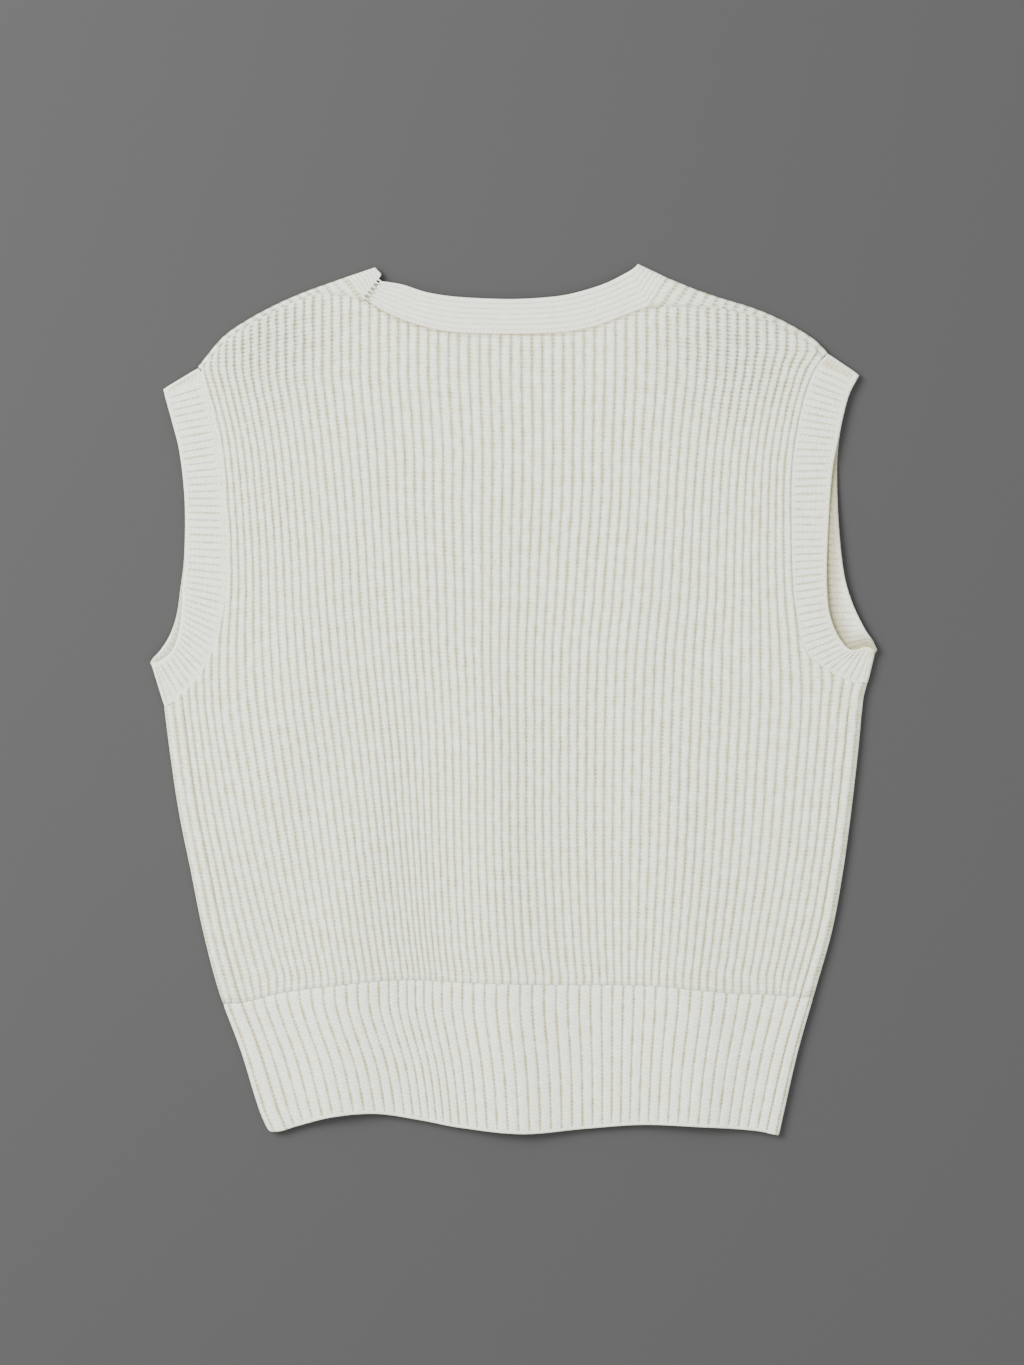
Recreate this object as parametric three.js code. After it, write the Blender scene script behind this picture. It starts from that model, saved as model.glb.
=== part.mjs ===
// A sleeveless rib-knit pullover laid flat on its front, so that its back faces up.
// Lengths are millimetres. +Z is up, +Y runs from the hem to the neck and +X to the wearer's right.
// The origin is under the middle of the garment, on the surface that it lies on.
import * as THREE from "three";

// Thicknesses of the cloth and of the flat stack of two layers
const FRONT_WALL = 2.2;
const BACK_WALL = 2.2;
const LAYER_GAP = 0.6;
const RIB_RISE = 1.3;
const SEAM_GAP = 0.3;
const TOP_INSIDE = FRONT_WALL + LAYER_GAP;
const TOP_OUTSIDE = TOP_INSIDE + BACK_WALL;

// The front is folded round the sides and shoulders and meets the back on top
const BEND = TOP_OUTSIDE / 2;
const BEND_REACH = BEND + RIB_RISE;
const BEND_LENGTH = Math.PI * BEND;
const SIDE_INSET = { left: 14, right: 9.7 };

// Ribs: the body has 65 between the armholes and 5 more on each side below them
const RIBS_CHEST = 65;
const RIBS_UNDERARM = 5;
const RIBS_HEM = 50;
const RIB_SHOULDERS = [0.3, 0.7];
const SHORTEST_STEP = 0.1;
const BODY_PITCH = 6;
const HEM_PITCH = 7.4;
const BAND_PITCH = 6.3;
const NECK_RIBS = 7;

const CHEST_EDGE = RIBS_CHEST / 2;
const SIDE_EDGE = CHEST_EDGE + RIBS_UNDERARM;
const HEM_EDGE = RIBS_HEM / 2;
const ARMHOLE_FOOT = 68;
const ARMHOLE_BASE = -8;
const UNDERARM = { left: -4.6, right: 10.8 };

function table(columns, rows) {
  return rows.map((row) => Object.fromEntries(row.map((value, i) => [columns[i], value])));
}

// Outline of the body below the armholes
const SIDES = table(["y", "left", "right"], [
  [12, -243, 244.8],
  [0, -242, 241.9],
  [-35, -237.7, 238.4],
  [-77, -231.5, 233.6],
  [-118, -223.2, 228],
  [-159, -214.9, 220.5],
  [-201, -203.9, 208.7],
  [-242, -188.7, 197],
  [-284, -175.6, 187.3],
  [-300, -168.5, 183.9],
]);

// Shoulders: the line that the cloth is folded on, and how far behind it the seam lies on the back
const LEFT_SHOULDER = table(["x", "fold", "inset"], [
  [-227, 219, 5.1],
  [-218.4, 229.8, 5.1],
  [-201, 250.5, 5.1],
  [-182, 263.6, 5.1],
  [-162.5, 273.9, 5.1],
  [-145, 281.5, 5.4],
  [-130, 287, 7.9],
  [-119.5, 290.7, 13.9],
  [-108, 294.8, 22],
  [-98, 298.4, 27],
]);
const RIGHT_SHOULDER = table(["x", "fold", "inset"], [
  [92, 297.5, 30.5],
  [102, 293.4, 25.4],
  [117.6, 287, 18],
  [127, 283.2, 13.5],
  [144, 277.4, 8.6],
  [162, 272, 6.7],
  [178, 265.9, 5.6],
  [195, 257.3, 5.3],
  [209, 248.2, 5.1],
  [217.6, 239.4, 5.1],
  [226, 229, 5.1],
]);

// Sections across the neck band, from the join on the left shoulder to the right shoulder
const NECK = table(["seamX", "seamY", "edgeX", "edgeY"], [
  [-100.4, 274, -92.4, 288.2],
  [-86, 265.2, -76.5, 285.6],
  [-66.5, 257.6, -59.2, 280.2],
  [-40.5, 252.2, -37, 277],
  [-1, 251.1, -1, 275.6],
  [32, 252.1, 28.6, 277.4],
  [52.8, 255.3, 45.9, 280.8],
  [72.1, 262, 63.8, 286.6],
  [86, 267.4, 78.5, 294],
  [92.8, 270.2, 84, 296.7],
]);

// Sections across the armhole bands, from the shoulder down to the underarm.
// The front half of a band lies under the back half, a little further out.
const BAND_COLUMNS = ["seamX", "seamY", "edgeX", "edgeY", "frontX", "frontY"];
const LEFT_BAND = table(BAND_COLUMNS, [
  [-218.4, 229.2, -241.8, 214.6, -241.8, 214.6],
  [-210.1, 202.2, -235.6, 192.5, -235.6, 192.5],
  [-204.6, 178.7, -230.1, 170.4, -230.1, 170.4],
  [-200.4, 137.3, -226.4, 135.2, -226.7, 135.2],
  [-198.4, 95.9, -226.4, 97.3, -227.2, 97.3],
  [-199.1, 68.3, -228.2, 75.2, -229.8, 75.2],
  [-203.9, 42.8, -231, 57.4, -233.4, 57.4],
  [-212.2, 22.8, -235.4, 43.9, -238, 44.6],
  [-223.2, 8.3, -242, 32.4, -243.8, 33.8],
  [-233.5, -0.6, -248.4, 27.6, -249, 28.6],
  [-241.6, -4.6, -250.8, 24.4, -250.8, 24.4],
]);
const RIGHT_BAND = table(BAND_COLUMNS, [
  [217.6, 239.4, 239.1, 224.3, 239.1, 224.3],
  [208, 227, 232.2, 211.8, 232.2, 211.8],
  [201.1, 209.1, 228, 198, 228, 198],
  [195.6, 184.9, 223.9, 178.7, 224.6, 178.7],
  [192.2, 158, 219.8, 156.6, 223.2, 158],
  [191.8, 119.4, 217, 118, 224.3, 119.4],
  [192.9, 78.7, 216, 82.1, 228, 85.6],
  [195.6, 54.5, 217.7, 60, 233.6, 66.2],
  [201.1, 33.1, 223.9, 43.5, 241.8, 49],
  [214.2, 21.4, 232.2, 34.2, 247.4, 40.7],
  [233.6, 11.4, 243.2, 35.9, 249.8, 36],
  [245.2, 11.4, 250.8, 33.8, 250.8, 33.8],
]);

const NECK_KEYED = NECK.map((row, i) => ({ ...row, share: i / (NECK.length - 1) }));

// Where the body's ribs run: their middle and spacing at each height, how they crowd towards
// the sides, and how tightly the two long folds draw them together
const BODY_RIBS = table(["y", "centre", "pitch", "crowd", "skew", "pinchLeft", "pinchRight"], [
  [223, -9.1, 7.2, -0.092, 0.014, 0.04, -0.03],
  [172, -9, 6.92, -0.118, 0.018, 0.02, -0.01],
  [137, -8.6, 6.91, -0.116, 0.018, 0.08, 0.02],
  [103, -7.6, 6.61, -0.088, 0.016, 0.07, -0.03],
  [68, -7.8, 6.3, -0.041, 0.022, 0.04, -0.06],
  [34, -8.4, 6.02, 0.02, 0.03, 0.05, -0.06],
  [0, -7.1, 5.77, 0.062, 0.031, 0.05, -0.08],
  [-35, -5.1, 5.67, 0.069, 0.028, 0.1, -0.08],
  [-104, -2, 5.66, 0.043, 0.029, 0.23, -0.05],
  [-166, -1, 5.74, -0.002, 0.035, 0.31, 0.08],
  [-191, -0.6, 5.76, -0.021, 0.037, 0.32, 0.16],
]);
const BODY_FOLDS = { left: { at: -11.5, reach: 5 }, right: { at: 15, reach: 6 } };
const HEM_RIBS = table(["y", "centre", "pitch", "crowd", "skew", "pinchLeft", "pinchRight"], [
  [-196, 3.2, 8.58, -0.016, 0.01, 0.31, 0.15],
  [-215, 3.7, 8.56, -0.016, 0.008, 0.32, 0.15],
  [-256, 9.2, 8.17, -0.018, -0.01, 0.38, 0.18],
  [-300, 11.5, 7.8, -0.018, -0.012, 0.38, 0.18],
]);
const HEM_FOLDS = { left: { at: -9, reach: 5 }, right: { at: 10, reach: 5 } };

// The seam between body and hem band, and the free edge below it
const HEM_SEAM = table(["x", "y"], [
  [-201, -210.5],
  [-184, -209],
  [-160, -202.9],
  [-118, -197.3],
  [-76, -193.9],
  [-27, -196],
  [25, -197.3],
  [96, -198],
  [148, -202.9],
  [178, -204.2],
  [200, -205.6],
]);
const FREE_EDGE = table(["x", "y"], [
  [-168, -300.5],
  [-153, -295.5],
  [-124, -287.8],
  [-95, -285.7],
  [-66, -289.8],
  [-37, -295.3],
  [6.6, -299.5],
  [50, -296],
  [88.7, -293.3],
  [127, -294.6],
  [166, -297.4],
  [184, -300.8],
]);

// Soft ridges where the back lifts off the front
const RIDGES = table(["x0", "y0", "x1", "y1", "width", "height"], [
  [-127, -320, -108, -60, 30, 2.4],
  [2, -320, -24, 20, 27, 2.9],
  [129, -320, 104, -30, 32, 2.6],
  [-168, -90, -140, 70, 26, 1.5],
  [-60, 40, -20, 170, 40, 1.2],
  [60, 20, 120, 150, 30, 1],
]);
const RIDGE_END = 60;
const EDGE_FADE = 42;
const EDGE_INSET = 16;
const LIFT_TOP = { from: 150, to: 240 };

// Below the armholes the ribs crowd together over this height
const CROWD_FADE = 90;

// The front's slack at the armholes starts over this height and spreads inwards by this power
const SLACK_FADE = 30;
const SLACK_SPREAD = 4;

// Heights inside the hem band and at its seam, where the search for a rib's end starts
const HEM_MIDDLE = -250;
const HEM_SEAM_MIDDLE = -200;

// Rounds of search for a point on a slanting rib
const ROUNDS = 14;

// A hidden plain face has a step every few ribs
const PLAIN_STEP = 2.5;

// The front neckline is a V whose sides start steeply
const V_LEFT = -117.6;
const V_RIGHT = 108;
const V_MIDDLE = (V_LEFT + V_RIGHT) / 2;
const V_TURN = { left: V_LEFT, right: V_RIGHT };
const V_TOP = 287.6;
const V_POINT = 120;
const V_CURVE = 0.72;
const NECK_BAND_WIDTH = 23;

// How far along a shoulder the mirrored ribs of the front take to start, from the arm
const MIRROR_FADE = 60;
const NECK_END = { left: -108, right: 102 };
const MIRROR_LEAN = { left: 1, right: 0.5 };
const BAND_GAP = 0.45;
const FRONT_HEM_GAP = 0.6;
const FLAP_GAP = 0.6;
const FOLD_GAP = 1.9;
const ARM_CORNER = 1.6;
const UNDERARM_GAP = 0.8;
const JOIN_GAP = 0.6;
const BEND_MARGIN = 1.5;
const BAND_ENDS = [0, 1];
const FOLD_CENTRE = new THREE.Vector2(0, 60);

// Where the neck band turns over the shoulders: its free corner there, and how it leans going round
const NECK_FOLD = {
  left: { edge: new THREE.Vector2(-97.6, 298.2), outward: new THREE.Vector2(-0.33, 0.944), lean: 0.34 },
  right: { edge: new THREE.Vector2(87.3, 300.8), outward: new THREE.Vector2(0.42, 0.908), lean: -0.18 },
};
const BAND_SLOPE = { left: 0.35, right: 0.44 };
const RIGHT_TURN_EDGE = new THREE.Vector2(81.5, 295.8);
const LADDER_EDGE = new THREE.Vector2(-93.4, 288.6);
const LADDER_SHARE = 0.88;
const NECK_STATIONS = 20;
const NECK_END_SHARE = 8 / 9;

// Places along the neck band, counted on from its join over the back neck: the tops and undersides
// of both turns
const NECK_AT = { rightTop: 2, rightUnder: 3, leftUnder: 4, leftTop: 5 };
const NECK_TURNS = { inside: [0.5, 1], outside: [0.3, 0.55, 0.78, 1] };
const NECK_BESIDE = 0.5;

const clamp = THREE.MathUtils.clamp;
const lerp = THREE.MathUtils.lerp;
const smooth = THREE.MathUtils.smoothstep;

// Reads a smooth line through one column of a table, at any place of its key column
function reader(rows, key, value) {
  const sorted = [...rows].sort((a, b) => a[key] - b[key]);
  const last = sorted.length - 1;
  const slope = sorted.map((row, i) => {
    const before = sorted[Math.max(i - 1, 0)];
    const after = sorted[Math.min(i + 1, last)];
    return (after[value] - before[value]) / (after[key] - before[key]);
  });
  return (place) => {
    let i = 0;
    while (i < last - 1 && place > sorted[i + 1][key]) {
      i += 1;
    }
    const span = sorted[i + 1][key] - sorted[i][key];
    const t = clamp((place - sorted[i][key]) / span, 0, 1);
    const rise = t * t * (3 - 2 * t);
    return (
      lerp(sorted[i][value], sorted[i + 1][value], rise) +
      span * t * (1 - t) * ((1 - t) * slope[i] - t * slope[i + 1])
    );
  };
}

const sideX = { left: reader(SIDES, "y", "left"), right: reader(SIDES, "y", "right") };
const hemSeamY = reader(HEM_SEAM, "x", "y");
const freeEdgeY = reader(FREE_EDGE, "x", "y");
const shoulder = {
  left: { fold: reader(LEFT_SHOULDER, "x", "fold"), inset: reader(LEFT_SHOULDER, "x", "inset") },
  right: { fold: reader(RIGHT_SHOULDER, "x", "fold"), inset: reader(RIGHT_SHOULDER, "x", "inset") },
};
const neckSeamY = reader(NECK, "seamX", "seamY");
const armholeX = {
  left: reader(LEFT_BAND, "seamY", "seamX"),
  right: reader(RIGHT_BAND.slice(0, -1), "seamY", "seamX"),
};
const BANDS = { left: LEFT_BAND, right: RIGHT_BAND };
const slackRows = (side) =>
  BANDS[side].slice(0, -1).map((row) => ({ y: row.seamY, slack: row.frontX - row.edgeX }));
const frontSlack = {
  left: reader(slackRows("left"), "y", "slack"),
  right: reader(slackRows("right"), "y", "slack"),
};
const frontArmholeX = {
  left: (y) => armholeX.left(y) + frontSlack.left(y),
  right: (y) => armholeX.right(y) + frontSlack.right(y),
};
const SIGN = { left: -1, right: 1 };

function sideOf(x) {
  return x < 0 ? "left" : "right";
}

// Where rib number u crosses height y, before the armholes pull the outer ribs in
function ribField(rows, folds, edge) {
  const names = ["centre", "pitch", "crowd", "skew", "pinchLeft", "pinchRight"];
  const read = Object.fromEntries(names.map((name) => [name, reader(rows, "y", name)]));
  const drawn = (u, fold) => fold.reach * Math.tanh((u - fold.at) / fold.reach);
  return (u, y) =>
    read.centre(y) +
    read.pitch(y) *
      (u +
        (read.crowd(y) * u ** 3) / edge ** 2 +
        (read.skew(y) * u ** 2) / edge -
        read.pinchLeft(y) * drawn(u, folds.left) -
        read.pinchRight(y) * drawn(u, folds.right));
}
const bodyField = ribField(BODY_RIBS, BODY_FOLDS, CHEST_EDGE);
const hemField = ribField(HEM_RIBS, HEM_FOLDS, HEM_EDGE);

function seamX(side, y) {
  return sideX[side](y) - SIGN[side] * SIDE_INSET[side];
}

// The x of body rib u at height y. The outermost chest ribs follow the armhole seams.
function bodyX(u, y) {
  const side = sideOf(u);
  const top = Math.max(y, ARMHOLE_FOOT);
  const rest = bodyField(SIGN[side] * CHEST_EDGE, top);
  const fade = smooth(y, ARMHOLE_FOOT - CROWD_FADE, ARMHOLE_FOOT);
  const pull = fade * (armholeX[side](top) - rest);
  const chest = (w) => bodyField(w, y) + pull * Math.abs(w / CHEST_EDGE) ** 6;
  if (Math.abs(u) <= CHEST_EDGE) {
    return chest(u);
  }
  const share = (Math.abs(u) - CHEST_EDGE) / RIBS_UNDERARM;
  return lerp(chest(SIGN[side] * CHEST_EDGE), seamX(side, y), share);
}

// The x of hem rib v at height y, drawn to the side seams
function hemX(v, y) {
  const side = sideOf(v);
  const pull = seamX(side, y) - hemField(SIGN[side] * HEM_EDGE, y);
  return hemField(v, y) + pull * Math.abs(v / HEM_EDGE) ** 4;
}

// The ribs at which the neckline meets the shoulders, and the one at its point
const V_RIBS = {
  left: boundary(-CHEST_EDGE, 0, (u) => shoulderStart(u) < V_LEFT),
  point: boundary(-CHEST_EDGE, CHEST_EDGE, (u) => frontX(u, V_POINT) < V_MIDDLE),
  right: boundary(0, CHEST_EDGE, (u) => shoulderStart(u) < V_RIGHT),
};

// How far the back is lifted at a point of the plan
function lift(x, y) {
  const fromSide = Math.min(x - sideX.left(y), sideX.right(y) - x);
  const inside = smooth(fromSide, EDGE_INSET, EDGE_INSET + EDGE_FADE);
  const edges = inside * (1 - smooth(y, LIFT_TOP.from, LIFT_TOP.to));
  let height = 0;
  for (const ridge of RIDGES) {
    const run = new THREE.Vector2(ridge.x1 - ridge.x0, ridge.y1 - ridge.y0);
    const length = run.length();
    run.divideScalar(length);
    const along = (x - ridge.x0) * run.x + (y - ridge.y0) * run.y;
    const across = (x - ridge.x0) * run.y - (y - ridge.y0) * run.x;
    const start = smooth(along, -RIDGE_END, RIDGE_END);
    const ends = start * (1 - smooth(along, length - RIDGE_END, length + RIDGE_END));
    height += ridge.height * ends * Math.exp(-((across / ridge.width) ** 2));
  }
  return edges * height;
}

// A closed wall of cloth, built from lines of points that are joined two at a time
class Wall {
  constructor() {
    this.points = [];
    this.faces = [];
  }

  line(points) {
    return points.map((point) => this.points.push(point) - 1);
  }

  // How far along a line its points lie: by number where the two lines match, else by length
  along(line, other) {
    const at = [0];
    for (let i = 1; i < line.length; i += 1) {
      const step = this.points[line[i]].distanceTo(this.points[line[i - 1]]);
      at.push(at[i - 1] + (line.length === other.length ? 1 : step));
    }
    return at;
  }

  // Fills the strip between two lines. It faces up where both run along +X, the second one beyond
  // the first.
  zip(near, far, nearAt = this.along(near, far), farAt = this.along(far, near)) {
    const shares = (at) => at.map((value) => (value - at[0]) / (at.at(-1) - at[0]));
    const a = shares(nearAt);
    const b = shares(farAt);
    let i = 0;
    let j = 0;
    while (i < near.length - 1 || j < far.length - 1) {
      const nearStep = i < near.length - 1 ? a[i + 1] + a[i] : Infinity;
      const farStep = j < far.length - 1 ? b[j + 1] + b[j] : Infinity;
      if (nearStep <= farStep) {
        this.faces.push([near[i], near[i + 1], far[j]]);
        i += 1;
      } else {
        this.faces.push([near[i], far[j + 1], far[j]]);
        j += 1;
      }
    }
  }

  mesh(name, material) {
    const geometry = new THREE.BufferGeometry();
    const positions = this.points.flatMap((point) => point.toArray());
    geometry.setAttribute("position", new THREE.Float32BufferAttribute(positions, 3));
    geometry.setIndex(this.faces.flat());
    geometry.computeVertexNormals();
    const mesh = new THREE.Mesh(geometry, material);
    mesh.name = name;
    return mesh;
  }
}

// A point of the cloth where it is folded: it has gone `past` the start of the bend,
// and stands `rise` above the plain outer face
function aroundFold(edge, outward, past, rise) {
  const radius = BEND + rise;
  const turn = clamp(past / BEND, 0, Math.PI);
  const beyond = Math.max(past - BEND_LENGTH, 0);
  const reach = radius * Math.sin(turn) - beyond - BEND_REACH;
  const height = BEND - radius * Math.cos(turn);
  return new THREE.Vector3(edge.x + outward.x * reach, edge.y + outward.y * reach, height);
}

// The steps across a run of ribs: grooves, and the two shoulders of each rib
function ribSteps(from, to) {
  const steps = [];
  for (let groove = from; groove < to; groove += 1) {
    steps.push({ u: groove, rise: 0 });
    for (const part of RIB_SHOULDERS.filter((share) => groove + share < to - SHORTEST_STEP)) {
      steps.push({ u: groove + part, rise: RIB_RISE });
    }
  }
  steps.push({ u: to, rise: 0 });
  return steps;
}

function plainSteps(from, to, step) {
  const count = Math.round((to - from) / step);
  return Array.from({ length: count + 1 }, (_, i) => ({ u: lerp(from, to, i / count), rise: 0 }));
}

// Steps round a fold, from the flat layer below to the seam on top, with ribs where they show
function flapSteps(side, end, pitch) {
  const steps = [];
  for (let groove = end; groove > BEND; groove -= pitch) {
    steps.push({ side, past: groove, rise: 0 });
    for (const part of RIB_SHOULDERS) {
      const past = groove - part * pitch;
      if (past > BEND) {
        steps.push({ side, past, rise: RIB_RISE * smooth(past, 0, BEND * 2) });
      }
    }
  }
  steps.push({ side, past: BEND / 2, rise: 0 });
  return steps.reverse();
}

function plainFlapSteps(side, end) {
  return [BEND_LENGTH / 2, BEND_LENGTH, end].map((past) => ({ side, past, rise: 0 }));
}

function flapEnd(side) {
  return BEND_LENGTH + SIDE_INSET[side] - BEND_REACH - SEAM_GAP / 2;
}

// Where a step lies in the run of steps, the same on the inner and the outer face
function stationOf(edge) {
  return (step) => (step.side ? SIGN[step.side] * (edge + step.past) : step.u);
}

// All the steps across a layer that is folded round both sides
function foldedSteps(middle, flap) {
  return [...flap("left").reverse(), ...middle, ...flap("right")];
}

function sidePoint(side, y, past, rise) {
  const edge = new THREE.Vector2(sideX[side](y), y);
  return aroundFold(edge, new THREE.Vector2(SIGN[side], 0), past, rise);
}

// The fold line of a shoulder at x, and the direction that points out of it
function shoulderEdge(side, x) {
  const { fold } = shoulder[side];
  const slope = (fold(x + 1) - fold(x - 1)) / 2;
  return { edge: new THREE.Vector2(x, fold(x)), outward: new THREE.Vector2(-slope, 1).normalize() };
}

// A rib that has crossed the shoulder fold runs on as if mirrored in it
function shoulderPlace(side, start, past) {
  const arm = BANDS[side][0].seamX;
  const fade = smooth(Math.abs(start - arm), 0, MIRROR_FADE);
  const lean = MIRROR_LEAN[side] * shoulderEdge(side, start).outward.x * fade;
  return shoulderEdge(side, start - lean * past);
}

function shoulderPoint(side, start, past, rise) {
  const { edge, outward } = shoulderPlace(side, start, past);
  return aroundFold(edge, outward, past, rise);
}

// How far past the start of the bend the front meets the shoulder seam
function shoulderEnd(side, start) {
  let past = BEND_LENGTH;
  for (let i = 0; i < ROUNDS; i += 1) {
    const { edge } = shoulderPlace(side, start, past);
    past = BEND_LENGTH + shoulder[side].inset(edge.x) - BEND_REACH;
  }
  return past - FLAP_GAP;
}

// Where rib u meets a line at some distance from the fold line of its shoulder
function shoulderMeet(u, ribX, distance) {
  const side = sideOf(u);
  let foot = ribX(u, V_TOP);
  let point = new THREE.Vector2();
  for (let i = 0; i < ROUNDS; i += 1) {
    const { edge, outward } = shoulderEdge(side, foot);
    point = edge.clone().add(outward.clone().multiplyScalar(-distance(side, foot)));
    foot = ribX(u, point.y) + foot - point.x;
  }
  return { side, foot, point };
}

// The back's upper edge on rib u: shoulder seam, neck seam, shoulder seam
function backTopY(u) {
  const seam = (which, x) => shoulder[which].inset(x) + SEAM_GAP / 2;
  const { side, foot, point } = shoulderMeet(u, bodyX, seam);
  if (SIGN[side] * (foot - NECK_END[side]) > 0) {
    return point.y;
  }
  let y = V_TOP;
  for (let i = 0; i < ROUNDS; i += 1) {
    y = neckSeamY(bodyX(u, y)) - SEAM_GAP / 2;
  }
  return y;
}

// The front's neckline, which starts steeply at both shoulders
function vSeam(x) {
  const side = x < V_MIDDLE ? "left" : "right";
  const share = clamp(1 - Math.abs(x - V_MIDDLE) / (V_RIGHT - V_MIDDLE), 0, 1);
  return lerp(V_TOP, V_POINT, share ** V_CURVE);
}

// The x of front rib u at height y. The front lies a little further out at the armholes.
function frontX(u, y) {
  const side = sideOf(u);
  const begun = smooth(y, ARMHOLE_BASE, ARMHOLE_BASE + SLACK_FADE);
  const slack = frontSlack[side](Math.max(y, UNDERARM[side])) * begun;
  const chestU = clamp(u, -CHEST_EDGE, CHEST_EDGE);
  const chest = bodyX(chestU, y) + slack * Math.abs(chestU / CHEST_EDGE) ** SLACK_SPREAD;
  if (Math.abs(u) <= CHEST_EDGE) {
    return chest;
  }
  const share = (Math.abs(u) - CHEST_EDGE) / RIBS_UNDERARM;
  return lerp(chest, sideX[side](y) - SIGN[side] * BEND_REACH, share);
}

// Where a front rib reaches the shoulder's fold line
function shoulderStart(u) {
  const { foot } = shoulderMeet(u, frontX, () => BEND_REACH);
  return clamp(foot, LEFT_BAND[0].seamX, RIGHT_BAND[0].seamX);
}

// Finds the place between two values where a test stops being true
function boundary(low, high, test) {
  for (let i = 0; i < 40; i += 1) {
    const middle = (low + high) / 2;
    if (test(middle)) {
      low = middle;
    } else {
      high = middle;
    }
  }
  return low;
}

// Height at which a rib beyond the chest ends at the curved foot of the armhole
function underarmTop(u, ribX, seam) {
  const side = sideOf(u);
  const inside = (y) => SIGN[side] * (seam[side](y) - ribX(u, y)) > 0;
  return boundary(UNDERARM[side], ARMHOLE_FOOT, inside) - SEAM_GAP / 2;
}

// Rows of the body: below the armholes, beside their foot, and up to the neck and shoulders
const BODY_ROWS = [
  ...[0, 0.2, 0.4, 0.6, 0.8, 1].map((part) => ({ zone: "lower", part })),
  ...[0.5, 1].map((part) => ({ zone: "foot", part })),
  ...[0.2, 0.4, 0.6, 0.8, 1].map((part) => ({ zone: "upper", part })),
];
const FOOT_ROW = 7;

// One face of a body panel: a line of points for each row, narrower above the foot of the armholes
function bodyFace(wall, steps, place) {
  const from = steps.findIndex((step) => step.u === -CHEST_EDGE);
  const to = steps.findIndex((step) => step.u === CHEST_EDGE);
  const rows = BODY_ROWS.map((row, i) => {
    const part = i <= FOOT_ROW ? steps : steps.slice(from, to + 1);
    return wall.line(part.map((step) => place(row, step)));
  });
  return { rows, from, to, at: steps.map(stationOf(SIDE_EDGE)) };
}

function joinRows(wall, face, up) {
  const { rows, from, to } = face;
  for (let i = 0; i < rows.length - 1; i += 1) {
    const near = i === FOOT_ROW ? rows[i].slice(from, to + 1) : rows[i];
    if (up) {
      wall.zip(near, rows[i + 1]);
    } else {
      wall.zip(rows[i + 1], near);
    }
  }
}

// Closes a body panel between its lower and its upper face, along hem, sides and armholes
function closeSides(wall, low, high) {
  const side = (face, pick) => face.rows.slice(0, FOOT_ROW + 1).map(pick);
  const armhole = (face, foot, pick) => [
    face.rows[FOOT_ROW][foot],
    ...face.rows.slice(FOOT_ROW + 1).map(pick),
  ];
  const last = (row) => row.at(-1);
  const first = (row) => row[0];
  const foot = (face, ...range) => [face.rows[FOOT_ROW].slice(...range), face.at.slice(...range)];
  const close = ([near, nearAt], [far, farAt]) => wall.zip(near, far, nearAt, farAt);
  close([low.rows[0], low.at], [high.rows[0], high.at]);
  wall.zip(side(low, last), side(high, last));
  wall.zip(side(high, first), side(low, first));
  close(foot(high, high.to), foot(low, low.to));
  close(foot(high, 0, high.from + 1), foot(low, 0, low.from + 1));
  wall.zip(armhole(low, low.to, last), armhole(high, high.to, last));
  wall.zip(armhole(high, high.from, first), armhole(low, low.from, first));
}

function bodyHem(u, ribX) {
  let y = HEM_SEAM_MIDDLE;
  for (let i = 0; i < ROUNDS; i += 1) {
    y = hemSeamY(ribX(u, y)) + SEAM_GAP / 2;
  }
  return y;
}

function backPlan(row, u) {
  const hem = bodyHem(u, bodyX);
  let y = lerp(hem, ARMHOLE_BASE, row.part);
  if (row.zone === "foot") {
    const foot = Math.abs(u) <= CHEST_EDGE ? ARMHOLE_FOOT : underarmTop(u, bodyX, armholeX);
    y = lerp(ARMHOLE_BASE, foot, row.part);
  } else if (row.zone === "upper") {
    y = lerp(ARMHOLE_FOOT, backTopY(u), row.part);
  }
  const atSide = smooth(Math.abs(u), SIDE_EDGE - 1, SIDE_EDGE);
  const inwards = u === 0 ? 0 : -Math.sign(u) * atSide * (SEAM_GAP / 2);
  return new THREE.Vector2(bodyX(u, y) + inwards, y);
}

// The plain inner face has a step every few ribs, but follows the outer one round the armholes' foot
function insideSteps() {
  return [
    ...ribSteps(-SIDE_EDGE, -CHEST_EDGE).slice(0, -1),
    ...plainSteps(-CHEST_EDGE, CHEST_EDGE, PLAIN_STEP),
    ...ribSteps(CHEST_EDGE, SIDE_EDGE).slice(1),
  ];
}

function backPanel(material) {
  const wall = new Wall();
  const place = (inside) => (row, step) => {
    const { x, y } = backPlan(row, step.u);
    const inner = TOP_INSIDE + lift(x, y);
    return new THREE.Vector3(x, y, inside ? inner : inner + BACK_WALL + step.rise);
  };
  const outer = bodyFace(wall, ribSteps(-SIDE_EDGE, SIDE_EDGE), place(false));
  const inner = bodyFace(wall, insideSteps(), place(true));
  joinRows(wall, outer, true);
  joinRows(wall, inner, false);
  closeSides(wall, inner, outer);
  const chest = ({ at, from, to }) => at.slice(from, to + 1);
  wall.zip(outer.rows.at(-1), inner.rows.at(-1), chest(outer), chest(inner));
  return wall.mesh("back_panel", material);
}

function frontPlan(row, u) {
  const hem = bodyHem(u, frontX);
  let y = lerp(hem, ARMHOLE_BASE, row.part);
  if (row.zone === "foot") {
    const foot = Math.abs(u) <= CHEST_EDGE ? ARMHOLE_FOOT : underarmTop(u, frontX, frontArmholeX);
    y = lerp(ARMHOLE_BASE, foot, row.part);
  } else if (row.zone === "upper") {
    y = lerp(ARMHOLE_FOOT, frontTopY(u), row.part);
  }
  return new THREE.Vector2(frontX(u, y), y);
}

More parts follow.
